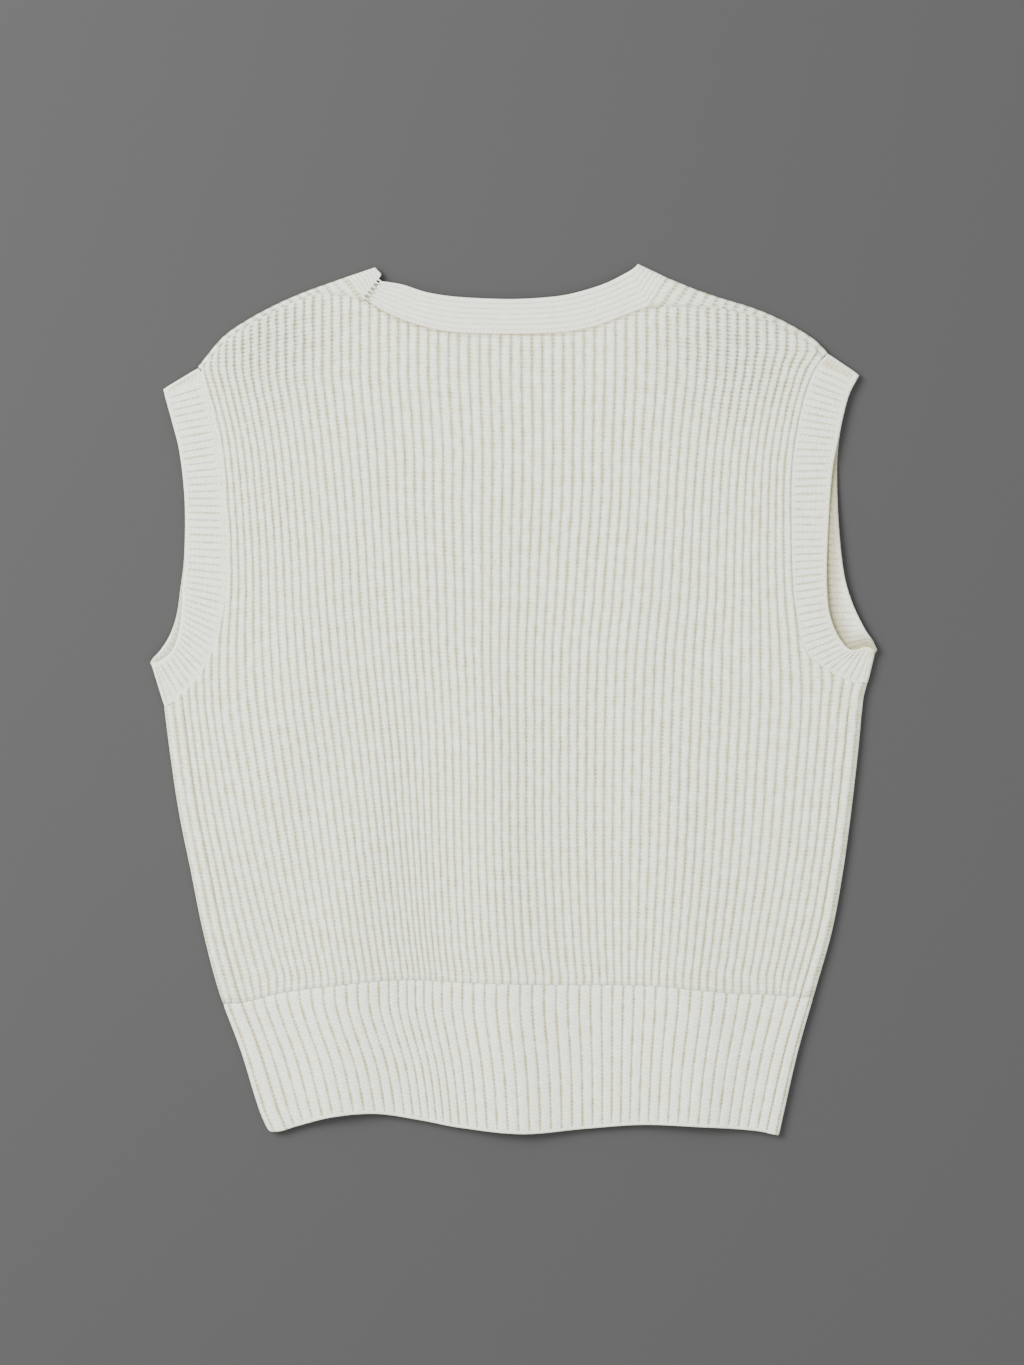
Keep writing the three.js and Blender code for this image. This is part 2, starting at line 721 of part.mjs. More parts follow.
// A front rib ends at the neckline, or where the shoulder starts to bend
function frontTopY(u) {
  if (u > V_RIBS.left && u < V_RIBS.right) {
    let y = V_TOP;
    for (let i = 0; i < ROUNDS; i += 1) {
      y = vSeam(frontX(u, y));
    }
    return y;
  }
  const { edge, outward } = shoulderEdge(sideOf(u), shoulderStart(u));
  return edge.y - outward.y * BEND_REACH;
}

function frontPlace(inside) {
  const plain = inside ? -FRONT_WALL : 0;
  return (row, step) => {
    if (step.side) {
      const hem = hemSeamY(seamX(step.side, -205)) + SEAM_GAP / 2;
      const top = row.zone === "lower" ? ARMHOLE_BASE : UNDERARM[step.side] - SEAM_GAP / 2;
      const y = lerp(row.zone === "lower" ? hem : ARMHOLE_BASE, top, row.part);
      return sidePoint(step.side, y, step.past, inside ? plain : step.rise);
    }
    const { x, y } = frontPlan(row, step.u);
    return new THREE.Vector3(x, y, -plain);
  };
}

// The plain ribs' places, with the two where the neckline meets the shoulders put in
function frontSteps() {
  const corners = Object.values(V_RIBS);
  const apart = (step) => corners.every((u) => Math.abs(step.u - u) > 1);
  const steps = plainSteps(-SIDE_EDGE, SIDE_EDGE, PLAIN_STEP).filter(apart);
  steps.push(...corners.map((u) => ({ u, rise: 0 })));
  return steps.sort((a, b) => a.u - b.u);
}

// The part of the front that is folded over one shoulder, in lines from the bend to the seam
function shoulderFlap(wall, side, base, inside, steps) {
  const shares = inside ? [0.5, 1] : [0.3, 0.55, 0.78, 1];
  const line = (reach) => wall.line(steps.map((step) => reach(step)));
  const bend = shares.map((share) => line((step) => {
    const rise = inside ? -FRONT_WALL : step.rise * smooth(share, 0.3, 1);
    return shoulderPoint(side, shoulderStart(step.u), share * BEND_LENGTH, rise);
  }));
  const flat = (inside ? [1] : [0.5, 1]).map((share) => line((step) => {
    const start = shoulderStart(step.u);
    const past = lerp(BEND_LENGTH, shoulderEnd(side, start), share);
    return shoulderPoint(side, start, past, inside ? -FRONT_WALL : step.rise);
  }));
  return [base, ...bend, ...flat];
}

function chestRibs(side) {
  if (side === "left") {
    return ribSteps(-CHEST_EDGE, V_RIBS.left);
  }
  return ribSteps(-CHEST_EDGE, -V_RIBS.right).map((step) => ({ ...step, u: -step.u })).reverse();
}

function frontPanel(material) {
  const wall = new Wall();
  const ribbed = (side) => flapSteps(side, flapEnd(side), BODY_PITCH);
  const plain = (side) => plainFlapSteps(side, flapEnd(side));
  const outer = bodyFace(wall, foldedSteps(frontSteps(), ribbed), frontPlace(false));
  const inner = bodyFace(wall, foldedSteps(frontSteps(), plain), frontPlace(true));
  joinRows(wall, outer, false);
  joinRows(wall, inner, true);
  closeSides(wall, outer, inner);
  const middle = frontSteps().filter((step) => Math.abs(step.u) <= CHEST_EDGE);
  const neck = {
    left: middle.findIndex((s) => s.u === V_RIBS.left),
    right: middle.findIndex((s) => s.u === V_RIBS.right),
  };
  const top = { outer: outer.rows.at(-1), inner: inner.rows.at(-1) };
  wall.zip(top.inner.slice(neck.left, neck.right + 1), top.outer.slice(neck.left, neck.right + 1));
  for (const side of ["left", "right"]) {
    const cut = (row) => (side === "left" ? row.slice(0, neck.left + 1) : row.slice(neck.right));
    const low = shoulderFlap(wall, side, cut(top.outer), false, chestRibs(side));
    const high = shoulderFlap(wall, side, cut(top.inner), true, cut(middle));
    low.slice(1).forEach((line, i) => wall.zip(line, low[i]));
    high.slice(1).forEach((line, i) => wall.zip(high[i], line));
    const at = stationOf(SIDE_EDGE);
    wall.zip(high.at(-1), low.at(-1), cut(middle).map(at), chestRibs(side).map(at));
    wall.zip(low.map((line) => line.at(-1)), high.map((line) => line.at(-1)));
    wall.zip(high.map((line) => line[0]), low.map((line) => line[0]));
  }
  return wall.mesh("front_panel", material);
}

// A hem band's rows, from the free edge up to the seam
const HEM_ROWS = [0, 0.33, 0.67, 1];

function hemHeight(part, x, gap) {
  return lerp(freeEdgeY(x), hemSeamY(x) - gap, part);
}

function hemPlan(part, v, ribX, gap) {
  let y = HEM_MIDDLE;
  for (let i = 0; i < ROUNDS; i += 1) {
    y = hemHeight(part, ribX(v, y), gap);
  }
  return new THREE.Vector2(ribX(v, y), y);
}

// The x of a plain step of the front hem, which runs out to where the side starts to bend
function frontHemX(v, y) {
  const side = sideOf(v);
  const bend = sideX[side](y) - SIGN[side] * BEND_REACH;
  return hemX(v, y) + (bend - seamX(side, y)) * Math.abs(v / HEM_EDGE) ** 4;
}

function closeHem(wall, low, high, lowSteps, highSteps) {
  const ends = (rows, at) => rows.map((row) => row.at(at));
  const lowAt = lowSteps.map(stationOf(HEM_EDGE));
  const highAt = highSteps.map(stationOf(HEM_EDGE));
  wall.zip(low[0], high[0], lowAt, highAt);
  wall.zip(high.at(-1), low.at(-1), highAt, lowAt);
  wall.zip(ends(low, -1), ends(high, -1));
  wall.zip(ends(high, 0), ends(low, 0));
}

function backHem(material) {
  const wall = new Wall();
  const rows = (steps, inside) => HEM_ROWS.map((part) => wall.line(steps.map((step) => {
    const { x, y } = hemPlan(part, step.u, hemX, SEAM_GAP / 2);
    const atSide = smooth(Math.abs(step.u), HEM_EDGE - 1, HEM_EDGE);
    const inwards = -Math.sign(step.u) * atSide * (SEAM_GAP / 2);
    const inner = TOP_INSIDE + lift(x, y);
    return new THREE.Vector3(x + inwards, y, inside ? inner : inner + BACK_WALL + step.rise);
  })));
  const ribs = ribSteps(-HEM_EDGE, HEM_EDGE);
  const plain = plainSteps(-HEM_EDGE, HEM_EDGE, 2);
  const outer = rows(ribs, false);
  const inner = rows(plain, true);
  for (let i = 0; i < HEM_ROWS.length - 1; i += 1) {
    wall.zip(outer[i], outer[i + 1]);
    wall.zip(inner[i + 1], inner[i]);
  }
  closeHem(wall, inner, outer, plain, ribs);
  return wall.mesh("back_hem", material);
}

function frontHem(material) {
  const wall = new Wall();
  const steps = (flap) => foldedSteps(plainSteps(-HEM_EDGE, HEM_EDGE, PLAIN_STEP), flap);
  const ribs = steps((side) => flapSteps(side, flapEnd(side), HEM_PITCH));
  const smoothSteps = steps((side) => plainFlapSteps(side, flapEnd(side)));
  const rows = (list, plain) => HEM_ROWS.map((part) => {
    return wall.line(list.map((step) => {
      if (step.side) {
        const y = hemHeight(part, seamX(step.side, lerp(-300, -205, part)), FRONT_HEM_GAP);
        return sidePoint(step.side, y, step.past, plain || step.rise);
      }
      const { x, y } = hemPlan(part, step.u, frontHemX, FRONT_HEM_GAP);
      return new THREE.Vector3(x, y, -plain);
    }));
  });
  const outer = rows(ribs, 0);
  const inner = rows(smoothSteps, -FRONT_WALL);
  for (let i = 0; i < HEM_ROWS.length - 1; i += 1) {
    wall.zip(outer[i + 1], outer[i]);
    wall.zip(inner[i], inner[i + 1]);
  }
  closeHem(wall, outer, inner, ribs, smoothSteps);
  return wall.mesh("front_hem", material);
}

// A line of points, read by the share of its length
class Path {
  constructor(points) {
    this.points = points;
    this.at = [0];
    for (let i = 1; i < points.length; i += 1) {
      this.at.push(this.at[i - 1] + points[i].distanceTo(points[i - 1]));
    }
    this.length = this.at.at(-1);
    this.at = this.at.map((value) => value / this.length);
  }

  point(share) {
    let i = 0;
    while (i < this.at.length - 2 && share > this.at[i + 1]) {
      i += 1;
    }
    const t = clamp((share - this.at[i]) / (this.at[i + 1] - this.at[i]), 0, 1);
    return this.points[i].clone().lerp(this.points[i + 1], t);
  }
}

// A band is lines of points across it, each with its place along the band. Its two faces may
// have different lines. A closed band ends where it started, `closed` further on.
function band(wall, outer, inner, closed) {
  const low = inner.map(({ line }) => wall.line(line));
  const high = outer.map(({ line }) => wall.line(line));
  const lowAt = inner.map(({ at }) => at);
  const highAt = outer.map(({ at }) => at);
  if (closed) {
    low.push(low[0]);
    high.push(high[0]);
    lowAt.push(lowAt[0] + closed);
    highAt.push(highAt[0] + closed);
  }
  high.slice(1).forEach((line, i) => wall.zip(line, high[i]));
  low.slice(1).forEach((line, i) => wall.zip(low[i], line));
  wall.zip(low.map((line) => line[0]), high.map((line) => line[0]), lowAt, highAt);
  wall.zip(high.map((line) => line.at(-1)), low.map((line) => line.at(-1)), highAt, lowAt);
  if (!closed) {
    wall.zip(high[0], low[0]);
    wall.zip(low.at(-1), high.at(-1));
  }
}

// A line across a band, from its seam to its edge, at one height
function flatLine(seam, edge, height, parts) {
  return parts.map((part) => {
    const place = seam.clone().lerp(edge, part);
    return new THREE.Vector3(place.x, place.y, height);
  });
}

// The same line where the band is folded, the fold running from seam to edge
function foldLine(seam, edge, past, rise, parts) {
  const run = edge.clone().sub(seam).normalize();
  const outward = new THREE.Vector2(-run.y, run.x);
  const middle = seam.clone().add(edge).divideScalar(2);
  if (outward.dot(middle.clone().sub(FOLD_CENTRE)) < 0) {
    outward.negate();
  }
  return parts.map((part) => aroundFold(seam.clone().lerp(edge, part), outward, past, rise));
}

// Whether a line across a band lies before the start of one of its folds
function beforeFold(line, { seam, edge }) {
  const run = edge.clone().sub(seam).normalize();
  const inward = new THREE.Vector2(-run.y, run.x);
  if (inward.dot(FOLD_CENTRE.clone().sub(seam)) < 0) {
    inward.negate();
  }
  const reach = (point) => inward.dot(new THREE.Vector2(point.x, point.y).sub(seam));
  return line.every((point) => reach(point) > BEND_REACH + BEND_MARGIN);
}

// The edge of a panel at its armhole, from the shoulder down, with the end of the side flap
function armholePath(side, plan, last) {
  const u = SIGN[side] * CHEST_EDGE;
  const chest = BODY_ROWS.slice(FOOT_ROW).reverse().map((row) => plan(row, u));
  const steps = last
    ? ribSteps(CHEST_EDGE, SIDE_EDGE)
    : plainSteps(CHEST_EDGE, SIDE_EDGE, PLAIN_STEP);
  const foot = steps.slice(1).map((step) => plan(BODY_ROWS[FOOT_ROW], SIGN[side] * step.u));
  return last ? [...chest, ...foot, last] : [...chest, ...foot];
}

function shifted(points, side) {
  return points.map((point, i) => {
    const before = points[Math.max(i - 1, 0)];
    const after = points[Math.min(i + 1, points.length - 1)];
    const run = after.clone().sub(before).normalize();
    const out = new THREE.Vector2(-run.y, run.x).multiplyScalar(SIGN[side] * BAND_GAP);
    return point.clone().add(out);
  });
}

function armholeBand(side, material) {
  const wall = new Wall();
  const rows = BANDS[side];
  const underarm = UNDERARM[side];
  const flapX = sideX[side](underarm) - SIGN[side] * BEND_REACH;
  const flapCorner = new THREE.Vector2(flapX, underarm - SEAM_GAP / 2);
  const back = new Path(shifted(armholePath(side, backPlan, flapCorner), side));
  const front = new Path(shifted(armholePath(side, frontPlan), side));
  const tabled = new Path(rows.map((row) => new THREE.Vector2(row.seamX, row.seamY)));
  const keyed = rows.map((row, i) => ({ ...row, share: tabled.at[i] }));
  const edgeOf = (x, y) => {
    const read = [reader(keyed, "share", x), reader(keyed, "share", y)];
    return (share) => new THREE.Vector2(read[0](share), read[1](share));
  };
  const backEdge = edgeOf("edgeX", "edgeY");
  const frontEdge = edgeOf("frontX", "frontY");
  const fold = (row) => ({
    seam: new THREE.Vector2(row.seamX, row.seamY),
    edge: new THREE.Vector2(row.edgeX, row.edgeY),
  });
  const folds = { shoulder: fold(rows[0]), underarm: fold(rows.at(-1)) };
  folds.underarm.seam.y += UNDERARM_GAP;
  folds.shoulder.seam.x += SIGN[side] * ARM_CORNER;

  const ribs = Math.round(back.length / BAND_PITCH);
  const build = (inside) => {
    const plain = inside ? -FRONT_WALL : 0;
    const steps = inside ? plainSteps(0, ribs, 1) : ribSteps(0, ribs);
    const top = steps.map((step) => {
      const share = step.u / ribs;
      const height = inside ? TOP_INSIDE : TOP_OUTSIDE + step.rise;
      return { at: share, line: flatLine(back.point(share), backEdge(share), height, BAND_ENDS) };
    });
    const clear = (line) => beforeFold(line, folds.shoulder) && beforeFold(line, folds.underarm);
    const flat = top.filter(({ line }) => clear(line));
    const turns = inside ? [0.5, 1] : [0.25, 0.5, 0.75, 1];
    const turn = ({ seam, edge }, at, way) => [0, ...turns].map((t) => ({
      at: at + way * t,
      line: foldLine(seam, edge, t * BEND_LENGTH, plain, BAND_ENDS),
    }));
    const down = turn(folds.underarm, 2, -1).reverse();
    const below = front.points.map((seam, i) => ({
      at: 3 - front.at[i],
      line: flatLine(seam, frontEdge(front.at[i]), -plain, BAND_ENDS),
    }));
    const up = turn(folds.shoulder, 3, 1);
    return [...flat, ...down, ...below.slice(1, -1).reverse(), ...up];
  };
  const ordered = (lines) => (side === "left" ? lines.reverse() : lines);
  const around = side === "left" ? -4 : 4;
  band(wall, ordered(build(false)), ordered(build(true)), around);
  return wall.mesh(`armhole_band_${side}`, material);
}

// The neck band: back neck, right shoulder fold, the V below, left shoulder fold, join
function neckBand(material) {
  const wall = new Wall();
  const across = ribSteps(0, NECK_RIBS);
  const read = (x, y) => {
    const lines = [reader(NECK_KEYED, "share", x), reader(NECK_KEYED, "share", y)];
    return (share) => new THREE.Vector2(lines[0](share), lines[1](share));
  };
  const seam = read("seamX", "seamY");
  const edge = read("edgeX", "edgeY");
  const build = (inside) => {
    const parts = inside ? [0, 1] : across.map((step) => step.u / NECK_RIBS);
    const plain = inside ? -FRONT_WALL : 0;
    const rise = (i, share) => (inside ? 0 : across[i].rise * share);
    const level = inside ? TOP_INSIDE : TOP_OUTSIDE;

    const backPart = Array.from({ length: NECK_STATIONS + 1 }, (_, i) => {
      const share = (i / NECK_STATIONS) * NECK_END_SHARE;
      const inner = edge(share);
      const outer = seam(share);
      outer.add(inner.clone().sub(outer).normalize().multiplyScalar(BAND_GAP));
      const start = new THREE.Vector2(i ? 0 : JOIN_GAP, 0);
      const line = flatLine(outer.add(start), inner.add(start), level, parts);
      line.forEach((point, j) => point.setZ(point.z + rise(j, 1)));
      return { at: i / NECK_STATIONS, line };
    });

    // Beside the folded front, the band's seam follows the front's cut edge round the bend
    const beside = (side, past, inner, turn, gap) => {
      const from = side === "left" ? V_LEFT + gap : V_RIGHT - gap;
      const low = shoulderPoint(side, from, past, plain);
      return parts.map((part, i) => {
        const point = low.clone().lerp(inner, part);
        const radial = new THREE.Vector3(0, 0, rise(i, turn));
        return point.add(radial);
      });
    };
    const bent = (side) => (share) => {
      const lean = NECK_FOLD[side].lean * share * BEND_LENGTH;
      const leaning = new THREE.Vector2(lean, Math.abs(lean) * BAND_SLOPE[side]);
      const corner = NECK_FOLD[side].edge.clone().add(leaning);
      const inner = aroundFold(corner, NECK_FOLD[side].outward, share * BEND_LENGTH, plain);
      return beside(side, share * BEND_LENGTH, inner, smooth(share, 0.4, 1), FOLD_GAP);
    };
    const flat = (side, target) => (share) => {
      const past = lerp(BEND_LENGTH, shoulderEnd(side, V_TURN[side]), share);
      const corner = bent(side)(1).at(-1);
      const inner = corner.lerp(new THREE.Vector3(target.x, target.y, corner.z), share);
      return beside(side, past, inner, 1, lerp(FOLD_GAP, BAND_GAP, share));
    };
    const turns = inside ? NECK_TURNS.inside : NECK_TURNS.outside;
    const run = (shares, at, way, line) =>
      shares.map((share) => ({ at: at + way * share, line: line(share) }));
    const rightShares = inside ? [1] : [1, NECK_BESIDE];
    const leftShares = inside ? [LADDER_SHARE] : [NECK_BESIDE, LADDER_SHARE];
    const rightFlat = run(rightShares, NECK_AT.rightTop, -1, flat("right", RIGHT_TURN_EDGE));
    const rightBend = run([...turns].reverse(), NECK_AT.rightUnder, -1, bent("right"));
    const leftBend = run(turns, NECK_AT.leftUnder, 1, bent("left"));
    const leftFlat = run(leftShares, NECK_AT.leftTop, 1, flat("left", LADDER_EDGE));
    const under = (side, at) => {
      const line = bent(side)(0);
      return { at, line: [line[0], line.at(-1)] };
    };
    const v = vLines();
    const hidden = v.map(([a, b], i) => ({
      at: NECK_AT.rightUnder + (i + 1) / (v.length + 1),
      line: flatLine(a, b, -plain, BAND_ENDS),
    }));
    return [
      ...backPart, ...rightFlat, ...rightBend, under("right", NECK_AT.rightUnder),
      ...hidden, under("left", NECK_AT.leftUnder), ...leftBend, ...leftFlat,
    ];
  };
  band(wall, build(false), build(true), 0);
  return wall.mesh("neck_band", material);
}

// Sections across the hidden V of the neck band, from the right shoulder to the left, mitred at
// its point
function vLines() {
  const xs = frontSteps().filter((step) => step.u > V_RIBS.left && step.u < V_RIBS.right);
  const seam = xs.map((step) => frontPlan(BODY_ROWS.at(-1), step.u)).reverse();
  return seam.map((point, i) => {
    const before = seam[Math.max(i - 1, 0)];
    const after = seam[Math.min(i + 1, seam.length - 1)];
    const run = after.clone().sub(before).normalize();
    const inwards = new THREE.Vector2(run.y, -run.x);
    const into = point.clone().add(inwards.clone().multiplyScalar(NECK_BAND_WIDTH));
    return [point.clone().add(inwards.clone().multiplyScalar(BAND_GAP)), into];
  });
}

const colour = { body: 0xdad9d0, band: 0xe2e2da };
function knit(name) {
  return new THREE.MeshStandardMaterial({ color: colour[name], roughness: 0.95, metalness: 0 });
}

const garment = new THREE.Group();
garment.add(backPanel(knit("body")));
garment.add(frontPanel(knit("body")));
garment.add(backHem(knit("body")));
garment.add(frontHem(knit("body")));
garment.add(armholeBand("left", knit("band")));
garment.add(armholeBand("right", knit("band")));
garment.add(neckBand(knit("band")));

export default garment;
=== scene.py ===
"""A sleeveless rib-knit pullover, laid flat on its front so that its back faces up.

Lengths are in millimetres until a piece is made. +Z is up, +Y runs from the hem to the neck.
"""

import math

import bmesh
import bpy
import numpy as np
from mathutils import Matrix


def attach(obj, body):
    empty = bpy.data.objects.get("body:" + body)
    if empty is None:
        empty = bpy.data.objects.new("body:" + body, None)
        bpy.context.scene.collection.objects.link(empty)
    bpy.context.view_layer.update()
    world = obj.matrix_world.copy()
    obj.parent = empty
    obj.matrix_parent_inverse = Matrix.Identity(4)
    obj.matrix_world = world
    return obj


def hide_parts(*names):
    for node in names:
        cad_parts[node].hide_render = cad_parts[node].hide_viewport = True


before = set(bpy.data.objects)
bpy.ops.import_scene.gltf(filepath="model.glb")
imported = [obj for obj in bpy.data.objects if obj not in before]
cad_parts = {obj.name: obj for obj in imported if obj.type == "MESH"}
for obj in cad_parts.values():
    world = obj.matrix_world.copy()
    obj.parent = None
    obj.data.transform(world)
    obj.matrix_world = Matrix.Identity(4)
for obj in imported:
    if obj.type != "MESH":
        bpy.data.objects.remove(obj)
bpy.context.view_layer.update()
bpy.ops.object.select_all(action="DESELECT")

MM = 0.001

# Thicknesses of the cloth and of the two layers that lie on each other
FRONT_WALL = 2.2
BACK_WALL = 2.2
LAYER_GAP = 0.6
BODY_RISE = 1.0
HEM_RISE = 1.15
BAND_RISE = 0.55
NECK_RISE = 0.28
UNDER_RISE = 1.1
SEAM_GAP = -0.3
TOP_INSIDE = FRONT_WALL + LAYER_GAP
TOP_OUTSIDE = TOP_INSIDE + BACK_WALL
COURSE = 2.8

# The front is folded round the sides and shoulders and meets the back on top
BEND = TOP_OUTSIDE / 2
BEND_REACH = BEND + 1.3
BEND_LENGTH = math.pi * BEND
SIDE_INSET = (14, 9.7)

# Ribs: the body has 65 between the armholes and 5 more on each side below them
RIBS_CHEST = 65
RIBS_UNDERARM = 5
RIBS_HEM = 50
BODY_PITCH = 6
HEM_PITCH = 7.4
BAND_PITCH = 5.2
NECK_RIBS = 7
CHEST_EDGE = RIBS_CHEST / 2
SIDE_EDGE = CHEST_EDGE + RIBS_UNDERARM
HEM_EDGE = RIBS_HEM / 2
ARMHOLE_FOOT = 68
ARMHOLE_BASE = -8
UNDERARM = (-4.6, 10.8)
LEFT, RIGHT = 0, 1
SIGN = (-1, 1)


def table(columns, rows):
    return [dict(zip(columns.split(), row)) for row in rows]


# Outline of the body below the armholes
SIDES = table("y left right", [
    (12, -243, 244.8),
    (0, -242, 241.9),
    (-35, -237.7, 238.4),
    (-77, -231.5, 233.6),
    (-118, -223.2, 228),
    (-159, -214.9, 220.5),
    (-201, -203.9, 208.7),
    (-242, -188.7, 197),
    (-284, -175.6, 187.3),
    (-300, -168.5, 183.9),
])

# Shoulders: the fold line, and how far behind it the seam lies on the back
LEFT_SHOULDER = table("x fold inset", [
    (-227, 219, 5.1),
    (-218.4, 229.8, 5.1),
    (-201, 250.5, 5.1),
    (-182, 263.6, 5.1),
    (-162.5, 273.9, 5.1),
    (-145, 281.5, 5.4),
    (-130, 287, 7.9),
    (-119.5, 290.7, 13.9),
    (-108, 294.8, 22),
    (-98, 298.4, 27),
])
RIGHT_SHOULDER = table("x fold inset", [
    (92, 297.5, 30.5),
    (102, 293.4, 25.4),
    (117.6, 287, 18),
    (127, 283.2, 13.5),
    (144, 277.4, 8.6),
    (162, 272, 6.7),
    (178, 265.9, 5.6),
    (195, 257.3, 5.3),
    (209, 248.2, 5.1),
    (217.6, 239.4, 5.1),
    (226, 229, 5.1),
])

# Sections across the neck band, from the join on the left shoulder to the right shoulder
NECK = table("seam_x seam_y edge_x edge_y", [
    (-100.4, 274, -92.4, 288.2),
    (-86, 265.2, -76.5, 285.6),
    (-66.5, 257.6, -59.2, 280.2),
    (-40.5, 252.2, -37, 277),
    (-1, 251.1, -1, 275.6),
    (32, 252.1, 28.6, 277.4),
    (52.8, 255.3, 45.9, 280.8),
    (72.1, 262, 63.8, 286.6),
    (86, 267.4, 78.5, 294),
    (92.8, 270.2, 84, 296.7),
])

# Sections across the armhole bands, from the shoulder down to the underarm
BAND_COLUMNS = "seam_x seam_y edge_x edge_y front_x front_y"
LEFT_BAND = table(BAND_COLUMNS, [
    (-218.4, 229.2, -241.8, 214.6, -241.8, 214.6),
    (-210.1, 202.2, -235.6, 192.5, -235.6, 192.5),
    (-204.6, 178.7, -230.1, 170.4, -230.1, 170.4),
    (-200.4, 137.3, -226.4, 135.2, -226.7, 135.2),
    (-198.4, 95.9, -226.4, 97.3, -227.2, 97.3),
    (-199.1, 68.3, -228.2, 75.2, -229.8, 75.2),
    (-203.9, 42.8, -228.9, 57, -232.4, 57.4),
    (-212.2, 22.8, -231.6, 42.2, -237, 43.9),
    (-223.2, 8.3, -236.8, 31.6, -243.4, 33.6),
    (-233.5, -0.6, -245.2, 25.6, -248.8, 27.8),
    (-241.6, -4.6, -250.8, 24.4, -250.8, 24.4),
])
RIGHT_BAND = table(BAND_COLUMNS, [
    (217.6, 239.4, 239.1, 224.3, 239.1, 224.3),
    (208, 227, 232.2, 211.8, 232.2, 211.8),
    (201.1, 209.1, 228, 198, 228, 198),
    (195.6, 184.9, 223.9, 178.7, 224.6, 178.7),
    (192.2, 158, 219.8, 156.6, 223.2, 158),
    (191.8, 119.4, 217, 118, 224.3, 119.4),
    (192.9, 78.7, 216, 82.1, 228, 85.6),
    (195.6, 54.5, 217.7, 60, 233.6, 66.2),
    (201.1, 33.1, 223.9, 43.5, 241.8, 49),
    (214.2, 21.4, 232.2, 34.2, 247.4, 40.7),
    (233.6, 11.4, 243.2, 35.9, 249.8, 36),
    (245.2, 11.4, 250.8, 33.8, 250.8, 33.8),
])
BANDS = (LEFT_BAND, RIGHT_BAND)

# Where the body's ribs run: their middle and spacing at each height, how they crowd towards
# the sides, and how tightly the two long folds draw them together
RIB_COLUMNS = "y centre pitch crowd skew pinch_left pinch_right"
BODY_RIBS = table(RIB_COLUMNS, [
    (223, -9.1, 7.2, -0.092, 0.014, 0.04, -0.03),
    (172, -9, 6.92, -0.118, 0.018, 0.02, -0.01),
    (137, -8.6, 6.91, -0.116, 0.018, 0.08, 0.02),
    (103, -7.6, 6.61, -0.088, 0.016, 0.07, -0.03),
    (68, -7.8, 6.3, -0.041, 0.022, 0.04, -0.06),
    (34, -8.4, 6.02, 0.02, 0.03, 0.05, -0.06),
    (0, -7.1, 5.77, 0.062, 0.031, 0.05, -0.08),
    (-35, -5.1, 5.67, 0.069, 0.028, 0.1, -0.08),
    (-104, -2, 5.66, 0.043, 0.029, 0.23, -0.05),
    (-166, -1, 5.74, -0.002, 0.035, 0.31, 0.08),
    (-191, -0.6, 5.76, -0.021, 0.037, 0.32, 0.16),
])
BODY_FOLDS = ((-11.5, 5), (15, 6))
HEM_RIBS = table(RIB_COLUMNS, [
    (-196, 3.2, 8.58, -0.016, 0.01, 0.31, 0.15),
    (-215, 3.7, 8.56, -0.016, 0.008, 0.32, 0.15),
    (-256, 9.2, 8.17, -0.018, -0.01, 0.38, 0.18),
    (-300, 11.5, 7.8, -0.018, -0.012, 0.38, 0.18),
])
HEM_FOLDS = ((-9, 5), (10, 5))

# The seam between body and hem band, and the free edge below it
HEM_SEAM = table("x y", [
    (-201, -210.5),
    (-184, -209),
    (-160, -202.9),
    (-118, -197.3),
    (-76, -193.9),
    (-27, -196),
    (25, -197.3),
    (96, -198),
    (148, -202.9),
    (178, -204.2),
    (200, -205.6),
])
FREE_EDGE = table("x y", [
    (-175, -292.5),
    (-171.2, -296),
    (-166.6, -298.2),
    (-157, -296.8),
    (-150, -294.5),
    (-124, -287.8),
    (-95, -285.7),
    (-66, -289.8),
    (-37, -295.3),
    (6.6, -299.5),
    (50, -296),
    (88.7, -293.3),
    (127, -294.6),
    (166, -297.4),
    (184, -300.8),
])

# Soft ridges where the back lifts off the front, and the troughs between them
RIDGES = table("x0 y0 x1 y1 width height", [
    (-127, -320, -108, -60, 30, 3.5),
    (2, -320, -24, 20, 27, 4.2),
    (129, -320, 104, -30, 32, 3.9),
    (-168, -90, -140, 70, 26, 2.1),
    (-60, 40, -20, 170, 40, 1.7),
    (60, 20, 120, 150, 30, 1.4),
    (88, 60, 72, -60, 15, 1.1),
    (58, 10, 62, -90, 13, -0.9),
    (62, -90, 44, -160, 13, -1.1),
    (-78, 20, -74, -120, 11, -0.7),
])
RIDGE_END = 60
EDGE_INSET = 16
EDGE_FADE = 42
LIFT_TOP = (150, 240)

# Below the armholes the ribs crowd together over this height
CROWD_FADE = 90

# The front neckline is a V whose sides start steeply
V_LEFT = -117.6
V_RIGHT = 108
V_MIDDLE = (V_LEFT + V_RIGHT) / 2
V_TOP = 287.6
V_POINT = 120
V_CURVE = 0.72
NECK_BAND_WIDTH = 23

MIRROR_FADE = 60
NECK_END = (-108, 102)
MIRROR_LEAN = (1, 0.5)
BAND_GAP = -0.5
HEM_LAP = 0.5
FLAP_GAP = -0.2
FOLD_GAP = 0.3
ARM_CORNER = -0.8
UNDERARM_GAP = -0.8
JOIN_GAP = 0.8
BEND_MARGIN = 1
FOLD_CENTRE = np.array((0, 60))
NECK_FOLD = (
    {"edge": np.array((-97.6, 298.2)), "outward": np.array((-0.33, 0.944)), "lean": 0.34},
    {"edge": np.array((87.3, 300.8)), "outward": np.array((0.42, 0.908)), "lean": -0.18},
)
BAND_SLOPE = (0.35, 0.44)
TURN_EDGE = (np.array((-93.4, 288.6)), np.array((81.5, 295.8)))
LADDER_SHARE = 0.88
TIP_BULGE = (2.4, 0)
NECK_END_SHARE = 8 / 9

SETTLE = 14


def lerp(a, b, share):
    return a + (b - a) * share


